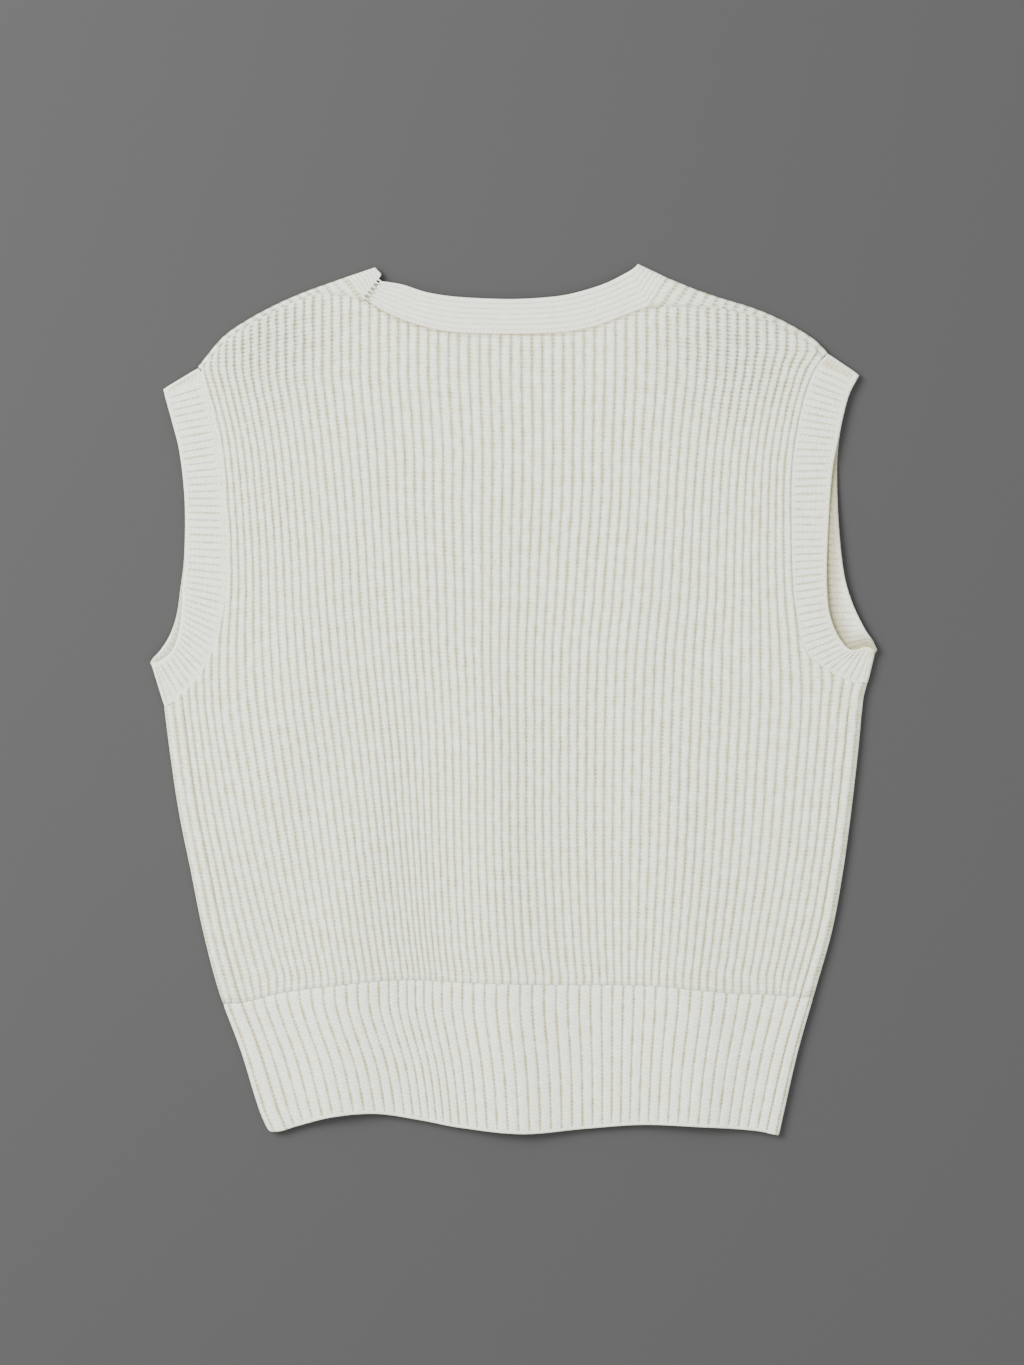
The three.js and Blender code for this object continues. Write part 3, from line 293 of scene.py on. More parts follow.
def smooth(value, low, high):
    t = np.clip((np.asarray(value, float) - low) / (high - low), 0, 1)
    return t * t * (3 - 2 * t)


def unit(vector):
    return vector / np.linalg.norm(vector, axis=-1, keepdims=True)


def reader(rows, key, value):
    """Reads a smooth line through one column of a table, at any places of its key column."""
    rows = sorted(rows, key=lambda row: row[key])
    at = np.array([row[key] for row in rows], float)
    to = np.array([row[value] for row in rows], float)
    last = len(rows) - 1
    before = np.maximum(np.arange(last + 1) - 1, 0)
    after = np.minimum(np.arange(last + 1) + 1, last)
    slope = (to[after] - to[before]) / (at[after] - at[before])

    def read(place):
        place = np.asarray(place, float)
        i = np.clip(np.searchsorted(at, place) - 1, 0, last - 1)
        span = at[i + 1] - at[i]
        t = np.clip((place - at[i]) / span, 0, 1)
        rise = t * t * (3 - 2 * t)
        bow = span * t * (1 - t) * ((1 - t) * slope[i] - t * slope[i + 1])
        return lerp(to[i], to[i + 1], rise) + bow
    return read


def sided(side, pair, *places):
    """Reads one of two lines, by the side that each place is on."""
    return np.where(side == LEFT, pair[LEFT](*places), pair[RIGHT](*places))


def side_of(x):
    return np.where(np.asarray(x) < 0, LEFT, RIGHT)


def pick(side, pair):
    return np.where(side == LEFT, pair[LEFT], pair[RIGHT])


side_x = (reader(SIDES, "y", "left"), reader(SIDES, "y", "right"))
hem_seam_y = reader(HEM_SEAM, "x", "y")
free_edge_y = reader(FREE_EDGE, "x", "y")
fold_y = (reader(LEFT_SHOULDER, "x", "fold"), reader(RIGHT_SHOULDER, "x", "fold"))
fold_inset = (reader(LEFT_SHOULDER, "x", "inset"), reader(RIGHT_SHOULDER, "x", "inset"))
neck_seam_y = reader(NECK, "seam_x", "seam_y")
armhole_x = (reader(LEFT_BAND, "seam_y", "seam_x"), reader(RIGHT_BAND[:-1], "seam_y", "seam_x"))
slack_rows = [
    [{"y": row["seam_y"], "slack": row["front_x"] - row["edge_x"]} for row in band[:-1]]
    for band in BANDS
]
front_slack = (reader(slack_rows[LEFT], "y", "slack"), reader(slack_rows[RIGHT], "y", "slack"))
front_armhole_x = (
    lambda y: armhole_x[LEFT](y) + front_slack[LEFT](y),
    lambda y: armhole_x[RIGHT](y) + front_slack[RIGHT](y),
)


def rib_field(rows, folds, edge):
    """Where rib number u crosses height y, before the armholes pull the outer ribs in."""
    read = {name: reader(rows, "y", name) for name in RIB_COLUMNS.split()[1:]}

    def drawn(u, fold):
        at, reach = fold
        return reach * np.tanh((u - at) / reach)

    def field(u, y):
        return read["centre"](y) + read["pitch"](y) * (
            u
            + read["crowd"](y) * u**3 / edge**2
            + read["skew"](y) * u**2 / edge
            - read["pinch_left"](y) * drawn(u, folds[LEFT])
            - read["pinch_right"](y) * drawn(u, folds[RIGHT])
        )
    return field


body_field = rib_field(BODY_RIBS, BODY_FOLDS, CHEST_EDGE)
hem_field = rib_field(HEM_RIBS, HEM_FOLDS, HEM_EDGE)


def seam_x(side, y):
    return sided(side, side_x, y) - pick(side, SIGN) * pick(side, SIDE_INSET)


def body_x(u, y):
    """The x of body rib u at height y. The outermost chest ribs follow the armhole seams."""
    side = side_of(u)
    sign = pick(side, SIGN)
    top = np.maximum(y, ARMHOLE_FOOT)
    rest = body_field(sign * CHEST_EDGE, top)
    fade = smooth(y, ARMHOLE_FOOT - CROWD_FADE, ARMHOLE_FOOT)
    pull = fade * (sided(side, armhole_x, top) - rest)
    inner = body_field(u, y) + pull * np.abs(u / CHEST_EDGE) ** 6
    share = (np.abs(u) - CHEST_EDGE) / RIBS_UNDERARM
    outer = lerp(body_field(sign * CHEST_EDGE, y) + pull, seam_x(side, y), share)
    return np.where(np.abs(u) <= CHEST_EDGE, inner, outer)


def hem_x(v, y):
    """The x of hem rib v at height y, drawn to the side seams."""
    side = side_of(v)
    pull = seam_x(side, y) - hem_field(pick(side, SIGN) * HEM_EDGE, y)
    return hem_field(v, y) + pull * np.abs(v / HEM_EDGE) ** 4


def lift(x, y):
    """How far the back is lifted at a point of the plan."""
    from_side = np.minimum(x - side_x[LEFT](y), side_x[RIGHT](y) - x)
    edges = smooth(from_side, EDGE_INSET, EDGE_INSET + EDGE_FADE) * (1 - smooth(y, *LIFT_TOP))
    height = 0
    for ridge in RIDGES:
        start = np.array((ridge["x0"], ridge["y0"]))
        run = np.array((ridge["x1"], ridge["y1"])) - start
        length = np.linalg.norm(run)
        run = run / length
        along = (x - start[0]) * run[0] + (y - start[1]) * run[1]
        across = (x - start[0]) * run[1] - (y - start[1]) * run[0]
        ends = smooth(along, -RIDGE_END, RIDGE_END)
        ends = ends * (1 - smooth(along, length - RIDGE_END, length + RIDGE_END))
        height = height + ridge["height"] * ends * np.exp(-((across / ridge["width"]) ** 2))
    return edges * np.maximum(height, 0)


def around_fold(edge, outward, past, rise):
    """A point of cloth that has gone `past` the start of a bend and stands `rise` above it."""
    radius = BEND + rise
    turn = np.clip(past / BEND, 0, math.pi)
    beyond = np.maximum(past - BEND_LENGTH, 0)
    reach = radius * np.sin(turn) - beyond - BEND_REACH
    place = edge + outward * np.asarray(reach)[..., None]
    height = np.broadcast_to(BEND - radius * np.cos(turn), place.shape[:-1])
    return np.concatenate([place, height[..., None]], axis=-1)


def shoulder_edge(side, x):
    """The fold line of a shoulder at x, and the direction that points out of it."""
    slope = (sided(side, fold_y, x + 1) - sided(side, fold_y, x - 1)) / 2
    edge = np.stack([x, sided(side, fold_y, x)], axis=-1)
    return edge, unit(np.stack([-slope, np.ones_like(slope)], axis=-1))


def shoulder_place(side, start, past):
    """A rib that has crossed the shoulder fold runs on as if mirrored in it."""
    arm = pick(side, (LEFT_BAND[0]["seam_x"], RIGHT_BAND[0]["seam_x"]))
    lean = pick(side, MIRROR_LEAN) * smooth(np.abs(start - arm), 0, MIRROR_FADE)
    lean = lean * shoulder_edge(side, start)[1][..., 0]
    return shoulder_edge(side, start - lean * past)


def shoulder_point(side, start, past, rise):
    edge, outward = shoulder_place(side, start, past)
    return around_fold(edge, outward, past, rise)


def shoulder_end(side, start):
    """How far past the start of the bend the front meets the shoulder seam."""
    past = np.full(np.shape(start), BEND_LENGTH)
    for _ in range(SETTLE):
        edge, _ = shoulder_place(side, start, past)
        past = BEND_LENGTH + sided(side, fold_inset, edge[..., 0]) - BEND_REACH
    return past - FLAP_GAP


def shoulder_meet(u, rib_x, distance):
    """Where rib u meets a line at some distance from the fold line of its shoulder."""
    side = side_of(u)
    foot = rib_x(u, V_TOP)
    for _ in range(SETTLE):
        edge, outward = shoulder_edge(side, foot)
        point = edge - outward * np.asarray(distance(side, foot))[..., None]
        foot = rib_x(u, point[..., 1]) + foot - point[..., 0]
    return side, foot, point


def back_top_y(u):
    """The back's upper edge on rib u: shoulder seam, neck seam, shoulder seam."""
    side, foot, point = shoulder_meet(u, body_x, lambda s, x: sided(s, fold_inset, x) + SEAM_GAP / 2)
    y = np.full(np.shape(u), float(neck_seam_y(0)))
    for _ in range(SETTLE):
        y = neck_seam_y(body_x(u, y)) - SEAM_GAP / 2
    return np.where(pick(side, SIGN) * (foot - pick(side, NECK_END)) > 0, point[..., 1], y)


def v_seam(x):
    share = np.clip(1 - np.abs(x - V_MIDDLE) / (V_RIGHT - V_MIDDLE), 0, 1)
    return lerp(V_TOP, V_POINT, share**V_CURVE)


def front_x(u, y):
    """The x of front rib u at height y. The front lies a little further out at the armholes."""
    side = side_of(u)
    slack = sided(side, front_slack, np.maximum(y, pick(side, UNDERARM)))
    slack = slack * smooth(y, ARMHOLE_BASE, ARMHOLE_BASE + 30)
    near = np.clip(u, -CHEST_EDGE, CHEST_EDGE)
    chest = body_x(near, y) + slack * np.abs(near / CHEST_EDGE) ** 4
    share = (np.abs(u) - CHEST_EDGE) / RIBS_UNDERARM
    outer = lerp(chest, sided(side, side_x, y) - pick(side, SIGN) * BEND_REACH, share)
    return np.where(np.abs(u) <= CHEST_EDGE, chest, outer)


def shoulder_start(u):
    """Where a front rib reaches the shoulder's fold line."""
    _, foot, _ = shoulder_meet(u, front_x, lambda s, x: np.full(np.shape(x), BEND_REACH))
    return np.clip(foot, LEFT_BAND[0]["seam_x"], RIGHT_BAND[0]["seam_x"])


def boundary(low, high, test):
    """Finds the place between two values where a test stops being true."""
    low = np.asarray(low, float)
    high = np.asarray(high, float)
    for _ in range(40):
        middle = (low + high) / 2
        stays = test(middle)
        low = np.where(stays, middle, low)
        high = np.where(stays, high, middle)
    return low


def underarm_top(u, rib_x, seam):
    """Height at which a rib beyond the chest ends at the curved foot of the armhole."""
    side = side_of(u)

    def inside(y):
        return pick(side, SIGN) * (sided(side, seam, y) - rib_x(u, y)) > 0
    start = np.broadcast_to(pick(side, UNDERARM), np.shape(u))
    return boundary(start, np.full(np.shape(u), float(ARMHOLE_FOOT)), inside) - SEAM_GAP / 2


V_RIBS = (
    float(boundary(-CHEST_EDGE, 0, lambda u: shoulder_start(u) < V_LEFT)),
    float(boundary(-CHEST_EDGE, CHEST_EDGE, lambda u: front_x(u, V_POINT) < V_MIDDLE)),
    float(boundary(0, CHEST_EDGE, lambda u: shoulder_start(u) < V_RIGHT)),
)


# Ribs across the cloth: how round they stand, and how uneven the hand of the knitting is
rng = np.random.default_rng(7)
UNEVEN = rng.normal(0, 1, (2, 128, 256))
UNEVEN = (UNEVEN + np.roll(UNEVEN, 1, axis=2) + np.roll(UNEVEN, 2, axis=2)) / 3


def unevenness(layer, rib, course):
    """A small seeded number that drifts along each rib."""
    row = np.mod(np.floor(rib), UNEVEN.shape[1]).astype(int)
    low = np.floor(course)
    share = course - low
    low = np.mod(low, UNEVEN.shape[2]).astype(int)
    high = np.mod(low + 1, UNEVEN.shape[2])
    return lerp(UNEVEN[layer, row, low], UNEVEN[layer, row, high], share)


def rib_shape(rib, groove, power):
    """Height of a rib's section from 0 in the groove to 1 on its crest, by its rib coordinate."""
    half = 1 - np.abs(np.mod(rib, 1) * 2 - 1)
    half = np.clip((half - groove) / (1 - groove), 0, 1)
    return (1 - (1 - half) ** power) ** (1 / power)


BODY_SHARES = (0, 0.09, 0.15, 0.28, 0.5, 0.72, 0.85, 0.91)
HEM_SHARES = (0, 0.05, 0.1, 0.18, 0.3, 0.5, 0.7, 0.82, 0.9, 0.95)
BAND_SHARES = (0, 0.07, 0.15, 0.3, 0.5, 0.7, 0.85, 0.93)
UNDER_SHARES = (0, 0.14, 0.3, 0.5, 0.7, 0.86)


def rib_steps(first, last, shares):
    """The steps across a run of ribs, from one groove to another."""
    count = round(last - first)
    steps = [groove + share for groove in range(count) for share in shares]
    return np.array([*steps, count]) + first


class Knit:
    """Grids of points that are joined into one closed piece of knitting."""

    def __init__(self):
        self.points = []
        self.places = []
        self.marks = []
        self.faces = []
        self.count = 0

    def grid(self, points, rib, course, up=True, seam=0.0, shade=0.0, plain=0.0):
        """Adds rows of points, with the rib and the course that each lies on, and how much of a
        seam, of painted shade and of a plain strip without ribs it shows."""
        rows, cols = points.shape[:2]
        index = np.arange(rows * cols).reshape(rows, cols) + self.count
        self.count += rows * cols
        self.points.append(points.reshape(-1, 3))
        rib = np.broadcast_to(rib, (rows, cols))
        course = np.broadcast_to(course, (rows, cols))
        self.places.append(np.stack([rib, course], axis=-1).reshape(-1, 2))
        marks = [np.broadcast_to(mark, (rows, cols)) for mark in (seam, shade, plain, 1.0)]
        self.marks.append(np.stack(marks, axis=-1).reshape(-1, 4))
        corners = [index[:-1, :-1], index[:-1, 1:], index[1:, 1:], index[1:, :-1]]
        quads = np.stack(corners if up else corners[::-1], axis=-1)
        self.faces += quads.reshape(-1, 4).tolist()
        return index

    def at(self, index):
        """The place of one point that is already in."""
        for points in self.points:
            if index < len(points):
                return points[index]
            index -= len(points)

    def strip(self, near, far, near_at, far_at):
        """Fills the strip between two lines that have different numbers of points."""
        a = (np.asarray(near_at, float) - near_at[0]) / (near_at[-1] - near_at[0])
        b = (np.asarray(far_at, float) - far_at[0]) / (far_at[-1] - far_at[0])
        i = j = 0
        while i < len(near) - 1 or j < len(far) - 1:
            near_step = a[i + 1] + a[i] if i < len(near) - 1 else math.inf
            far_step = b[j + 1] + b[j] if j < len(far) - 1 else math.inf
            if near_step <= far_step:
                self.faces.append([int(near[i]), int(near[i + 1]), int(far[j])])
                i += 1
            else:
                self.faces.append([int(near[i]), int(far[j + 1]), int(far[j])])
                j += 1

    def piece(self, name, material, slot, *nodes):
        """Makes the piece, welds its grids together and hands it to the frame."""
        points = np.concatenate(self.points) * MM
        places = np.concatenate(self.places)
        mesh = bpy.data.meshes.new(name)
        mesh.from_pydata(points, [], self.faces)
        layer = mesh.uv_layers.new(name="knit")
        corners = np.empty(len(mesh.loops), int)
        mesh.loops.foreach_get("vertex_index", corners)
        layer.data.foreach_set("uv", places[corners].astype(np.float32).ravel())
        marks = mesh.attributes.new("mark", "FLOAT_COLOR", "POINT")
        marks.data.foreach_set("color", np.concatenate(self.marks).astype(np.float32).ravel())
        form = bmesh.new()
        form.from_mesh(mesh)
        bmesh.ops.remove_doubles(form, verts=form.verts, dist=0.004 * MM)
        bmesh.ops.dissolve_degenerate(form, edges=form.edges, dist=0.001 * MM)
        open_edges = sum(1 for edge in form.edges if not edge.is_manifold)
        volume = form.calc_volume(signed=True)
        form.to_mesh(mesh)
        form.free()
        mesh.shade_smooth()
        made = bpy.data.objects.new(name, mesh)
        bpy.context.scene.collection.objects.link(made)
        made.data.materials.append(material)
        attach(made, "root")
        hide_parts(*nodes)
        triangles = sum(len(face.vertices) - 2 for face in mesh.polygons)
        print(f"{name}: {triangles} triangles, {open_edges} open edges, {volume * 1e6:.0f} cm3")
        return made


# Materials
class Finish:
    """A material whose pattern is worked out from the rib and the course."""

    def __init__(self, name):
        self.material = bpy.data.materials.new(name)
        self.material.use_nodes = True
        self.nodes = self.material.node_tree.nodes
        self.links = self.material.node_tree.links
        self.shader = self.nodes["Principled BSDF"]

    def add(self, kind, inputs=(), **settings):
        node = self.nodes.new(kind)
        for name, value in settings.items():
            setattr(node, name, value)
        for socket, value in dict(inputs).items():
            self.feed(node.inputs[socket], value)
        return node

    def feed(self, socket, value):
        if isinstance(value, bpy.types.NodeSocket):
            self.links.new(value, socket)
        else:
            socket.default_value = value

    def math(self, operation, *values):
        node = self.add("ShaderNodeMath", dict(enumerate(values)), operation=operation)
        return node.outputs[0]

    def ramp(self, value, low, high, to_low=0.0, to_high=1.0):
        inputs = {"Value": value, "From Min": low, "From Max": high, "To Min": to_low, "To Max": to_high}
        return self.add("ShaderNodeMapRange", inputs, interpolation_type="SMOOTHSTEP").outputs["Result"]

    def mix(self, share, a, b):
        node = self.add("ShaderNodeMix", data_type="RGBA")
        self.feed(node.inputs[0], share)
        self.feed(node.inputs[6], a)
        self.feed(node.inputs[7], b)
        return node.outputs[2]


# Groove colours are partly the yarn of the stitches in the grooves and partly painted warm shade deep in the
# grooves
RIB_COLOUR = (0.882, 0.897, 0.77, 1)
GROOVE_YARN_AND_SHADE = (0.752, 0.748, 0.47, 1)
HEM_GROOVE_YARN_AND_SHADE = (0.69, 0.655, 0.38, 1)
# Painted shade seen through the gaps between stitches, deep in the grooves
HOLE_SHADE_COLOUR = (0.38, 0.34, 0.19, 1)
OPEN_KNIT_SHADE_COLOUR = (0.20, 0.20, 0.19, 1)
SEAM_COLOUR = (0.47, 0.39, 0.19, 1)
SHADE_COLOUR = (0.43, 0.41, 0.245, 1)
# Where the knit is stretched open over the shoulders, with painted shade showing through its gaps and a faint
# painted shade over the whole spot: x, y and reach, in metres
OPEN_SPOTS = ((-0.172, 0.250, 0.08), (0.155, 0.245, 0.085))


def knit_finish(name, rib, groove, groove_from, groove_to, hole_shade_strength, slant, relief, ragged, open_spots=()):
    """Rib knit: legs of stitches that lean to a V on each rib, and gaps deep in the grooves. The groove
    colour is partly the yarn and partly painted shade; the gaps and the spots stretched open get painted
    shade.
    """
    finish = Finish(name)
    place = finish.add("ShaderNodeUVMap", uv_map="knit").outputs[0]
    split = finish.add("ShaderNodeSeparateXYZ", {0: place}).outputs
    marks = finish.add("ShaderNodeAttribute", attribute_name="mark").outputs["Color"]
    seam, shade, plain = finish.add("ShaderNodeSeparateXYZ", {0: marks}).outputs[:3]
    where = finish.add("ShaderNodeTexCoord").outputs["Object"]

    along = finish.add("ShaderNodeVectorMath", {0: place, 1: (1.3, 0.35, 1)}, operation="MULTIPLY").outputs[0]
    fibre = finish.add(
        "ShaderNodeTexNoise", {"Vector": where, "Scale": 760.0, "Detail": 2.0, "Roughness": 0.75}
    )
    patch = finish.add("ShaderNodeTexNoise", {"Vector": where, "Scale": 170.0, "Detail": 3.0})
    drift = finish.add("ShaderNodeTexNoise", {"Vector": along, "Scale": 1.0, "Detail": 2.0})
    hole_shade_spread = finish.add("ShaderNodeTexNoise", {"Vector": where, "Scale": 26.0, "Detail": 2.0}).outputs[0]
    fuzz = fibre.outputs[0]

    beat = finish.math("MULTIPLY", split[1], 2 * math.pi)
    wave = finish.math("COSINE", beat)
    share = finish.math("FRACT", split[0])
    away = finish.math("MULTIPLY", finish.math("ABSOLUTE", finish.math("SUBTRACT", share, 0.5)), 2.0)
    edge = finish.math("ADD", away, finish.math("MULTIPLY", wave, ragged))
    edge = finish.math("ADD", edge, finish.ramp(fuzz, 0.3, 0.7, -1.5 * ragged, 1.5 * ragged))
    edge = finish.math("ADD", edge, finish.ramp(drift.outputs[0], 0.3, 0.7, -1.3 * ragged, 1.3 * ragged))
    ribbed = finish.math("SUBTRACT", 1.0, plain)
    in_groove = finish.math("MULTIPLY", finish.ramp(edge, groove_from, groove_to), ribbed)
    deep = finish.math("MULTIPLY", finish.ramp(away, 0.68, 0.88), ribbed)
    gap = finish.ramp(wave, -0.1, 0.7)
    wide = finish.math("MULTIPLY", finish.math("MULTIPLY", gap, finish.ramp(edge, 0.45, 0.8)), ribbed)
    hole = finish.math("MULTIPLY", gap, deep)

    lean = finish.math("MULTIPLY", away, slant)
    leg = finish.math("ADD", split[1], lean)
    twist = finish.math("ABSOLUTE", finish.math("SINE", finish.math("MULTIPLY", leg, math.pi)))
    on_rib = finish.math("SUBTRACT", 1.0, in_groove)
    strand = finish.math("MULTIPLY", finish.math("POWER", twist, 0.6), on_rib)

    depth = finish.ramp(drift.outputs[0], 0.3, 0.7, 0.4, 1.05)
    colour = finish.mix(finish.math("MULTIPLY", in_groove, depth), rib, groove)
    # How strong the painted shade in the gaps is, stronger or weaker at random across the cloth
    hole_shade = finish.math("MULTIPLY", finish.ramp(hole_shade_spread, 0.35, 0.65, 0.5 * hole_shade_strength, 1.3 * hole_shade_strength), depth)
    colour = finish.mix(finish.math("MULTIPLY", hole, hole_shade), colour, HOLE_SHADE_COLOUR)
    # Painted shade through the stretched-open knit over the shoulders, and a faint painted shade over those
    # spots
    for x, y, reach in open_spots:
        offset = finish.add("ShaderNodeVectorMath", {0: where, 1: (x, y, 0.006)}, operation="SUBTRACT")
        far = finish.add("ShaderNodeVectorMath", {0: offset.outputs[0]}, operation="LENGTH").outputs["Value"]
        near = finish.ramp(far, 0.0, reach, 1.0, 0.0)
        open_knit_shade = finish.math("MULTIPLY", finish.math("MULTIPLY", wide, near), 0.62)
        shoulder_shade = finish.math("MULTIPLY", near, 0.13)
        colour = finish.mix(finish.math("MAXIMUM", open_knit_shade, shoulder_shade), colour, OPEN_KNIT_SHADE_COLOUR)
    broken = finish.math("ADD", wave, finish.ramp(fuzz, 0.3, 0.7, -1.0, 1.0))
    stitch = finish.ramp(broken, -0.6, 0.6, 0.35, 1.0)
    colour = finish.mix(finish.math("MULTIPLY", seam, stitch), colour, SEAM_COLOUR)
    # Painted shade where a layer lies in the hollow under the edge of another
    colour = finish.mix(shade, colour, SHADE_COLOUR)
    speckle = finish.ramp(fuzz, 0.3, 0.7, -0.16, 0.1)
    tone = finish.math("ADD", speckle, finish.ramp(patch.outputs[0], 0.3, 0.7, 0.95, 1.0))
    line = finish.math("ADD", tone, finish.math("MULTIPLY", strand, 0.11))
    toned = finish.add("ShaderNodeVectorMath", {0: colour}, operation="SCALE")
    finish.feed(toned.inputs["Scale"], line)
    finish.feed(finish.shader.inputs["Base Color"], toned.outputs[0])
    finish.shader.inputs["Roughness"].default_value = 0.95
    finish.shader.inputs["Specular IOR Level"].default_value = 0.12
    finish.shader.inputs["Sheen Weight"].default_value = 0.15
    finish.shader.inputs["Sheen Roughness"].default_value = 0.6

    height = finish.math("ADD", finish.math("MULTIPLY", strand, 0.6), finish.math("MULTIPLY", fuzz, 0.9))
    height = finish.math("SUBTRACT", height, finish.math("MULTIPLY", hole, 0.5))
    height = finish.math("SUBTRACT", height, finish.math("MULTIPLY", in_groove, 0.4))
    bump = finish.add("ShaderNodeBump", {"Strength": 0.8, "Distance": relief * MM, "Height": height})
    finish.feed(finish.shader.inputs["Normal"], bump.outputs[0])
    return finish.material


BAND_COLOUR = (0.878, 0.888, 0.765, 1)
# Band and neck groove colours are partly the yarn and partly painted warm shade deep in the grooves
BAND_GROOVE_YARN_AND_SHADE = (0.75, 0.735, 0.46, 1)
NECK_GROOVE_YARN_AND_SHADE = (0.83, 0.82, 0.67, 1)
body_knit = knit_finish(
    "half_cardigan_rib", RIB_COLOUR, GROOVE_YARN_AND_SHADE, 0.48, 0.86, 0.52, 0.9, 0.45, 0.15, OPEN_SPOTS
)
hem_knit = knit_finish("wide_rib", RIB_COLOUR, HEM_GROOVE_YARN_AND_SHADE, 0.62, 0.97, 0.12, 1.2, 0.4, 0.06)
band_knit = knit_finish("band_rib", BAND_COLOUR, BAND_GROOVE_YARN_AND_SHADE, 0.64, 0.95, 0.12, 0.9, 0.35, 0.07)
neck_knit = knit_finish("neck_rib", BAND_COLOUR, NECK_GROOVE_YARN_AND_SHADE, 0.66, 0.97, 0.03, 0.9, 0.22, 0.05)


yarn = Finish("yarn").material
yarn.node_tree.nodes["Principled BSDF"].inputs["Base Color"].default_value = BAND_COLOUR
yarn.node_tree.nodes["Principled BSDF"].inputs["Roughness"].default_value = 0.95


# Body panels
HEM_LEVEL = 0.75
HEM_BLEND = 1.8
SEAM_SINK = 0.15
SEAM_BLEND = 3.5
BODY_SECTION = (0.18, 2.3)
NECK_SEAM = 1
SIDE_SEAM = 0.9
FLAP_TOP = -4
LOWER_ROWS = 56
FOOT_ROWS = 22
UPPER_ROWS = 54


def body_rows(lower, foot, upper):
    """Rows of the body, as places 0 to 3: below the armholes, beside their foot, and above."""
    return np.concatenate([
        np.arange(lower) / lower,
        1 + np.arange(foot) / foot,
        2 + np.arange(upper + 1) / upper,
    ])


def body_plan(rows, hem, foot, top):
    """The heights of all the rows on each rib."""
    place = rows[:, None]
    low = lerp(hem, ARMHOLE_BASE, np.clip(place, 0, 1))
    low = np.where(place > 1, lerp(ARMHOLE_BASE, foot, np.clip(place - 1, 0, 1)), low)
    return np.where(place > 2, lerp(foot, top, np.clip(place - 2, 0, 1)), low)


def body_hem(u, rib_x):
    y = np.full(np.shape(u), float(hem_seam_y(0)))
    for _ in range(SETTLE):
        y = hem_seam_y(rib_x(u, y))
    return y


def back_plan(u, rows):
    chest = np.abs(u) <= CHEST_EDGE
    foot = np.where(chest, ARMHOLE_FOOT, underarm_top(u, body_x, armhole_x))
    y = body_plan(rows, body_hem(u, body_x), foot, back_top_y(np.clip(u, -CHEST_EDGE, CHEST_EDGE)))
    inwards = -np.sign(u) * smooth(np.abs(u), SIDE_EDGE - 1, SIDE_EDGE) * SEAM_GAP / 2
    return body_x(u[None, :], y) + inwards, y


def close_body(cloth, low, high, low_u, high_u, low_rows, high_rows, top=True):
    """Closes a body panel between its two faces along hem, sides, armholes and top."""
    def split(face, u, rows):
        chest = np.flatnonzero(np.abs(u) <= CHEST_EDGE + 1e-6)
        foot = int(np.flatnonzero(rows == 2)[0])
        return face, u, rows, chest[0], chest[-1], foot
    parts = (split(low, low_u, low_rows), split(high, high_u, high_rows))

    def line(part, name):
        face, u, rows, first, last, foot = part
        return {
            "hem": (face[0], u),
            "right": (face[: foot + 1, -1], rows[: foot + 1]),
            "left": (face[: foot + 1, 0], rows[: foot + 1]),
            "foot_right": (face[foot, last:], u[last:]),
            "foot_left": (face[foot, : first + 1], u[: first + 1]),
            "arm_right": (face[foot:, last], rows[foot:]),
            "arm_left": (face[foot:, first], rows[foot:]),
            "top": (face[-1, first : last + 1], u[first : last + 1]),
        }[name]

    def close(name, first, second):
        near, near_at = line(parts[first], name)
        far, far_at = line(parts[second], name)
        cloth.strip(near, far, near_at, far_at)
    sides = [("hem", 0), ("right", 0), ("left", 1), ("foot_right", 1), ("foot_left", 1),
             ("arm_right", 0), ("arm_left", 1)]
    for name, first in sides + ([("top", 1)] if top else []):
        close(name, first, 1 - first)


def body_face(cloth, points, rib, course, u, rows, up, seam=0.0):
    """Adds one face of a body panel, narrower above the foot of the armholes."""
    seam = np.broadcast_to(seam, points.shape[:2])
    chest = np.flatnonzero(np.abs(u) <= CHEST_EDGE + 1e-6)
    foot = int(np.flatnonzero(rows == 2)[0])
    index = np.full(points.shape[:2], -1)
    low = cloth.grid(points[: foot + 1], rib, course[: foot + 1], up, seam[: foot + 1])
    index[: foot + 1] = low
    first, last = chest[0], chest[-1] + 1
    wide = slice(first, last)
    high = cloth.grid(points[foot:, wide], rib[wide], course[foot:, wide], up, seam[foot:, wide])
    index[foot, first:last] = low[foot, first:last]
    index[foot + 1 :, first:last] = high[1:]
    return index


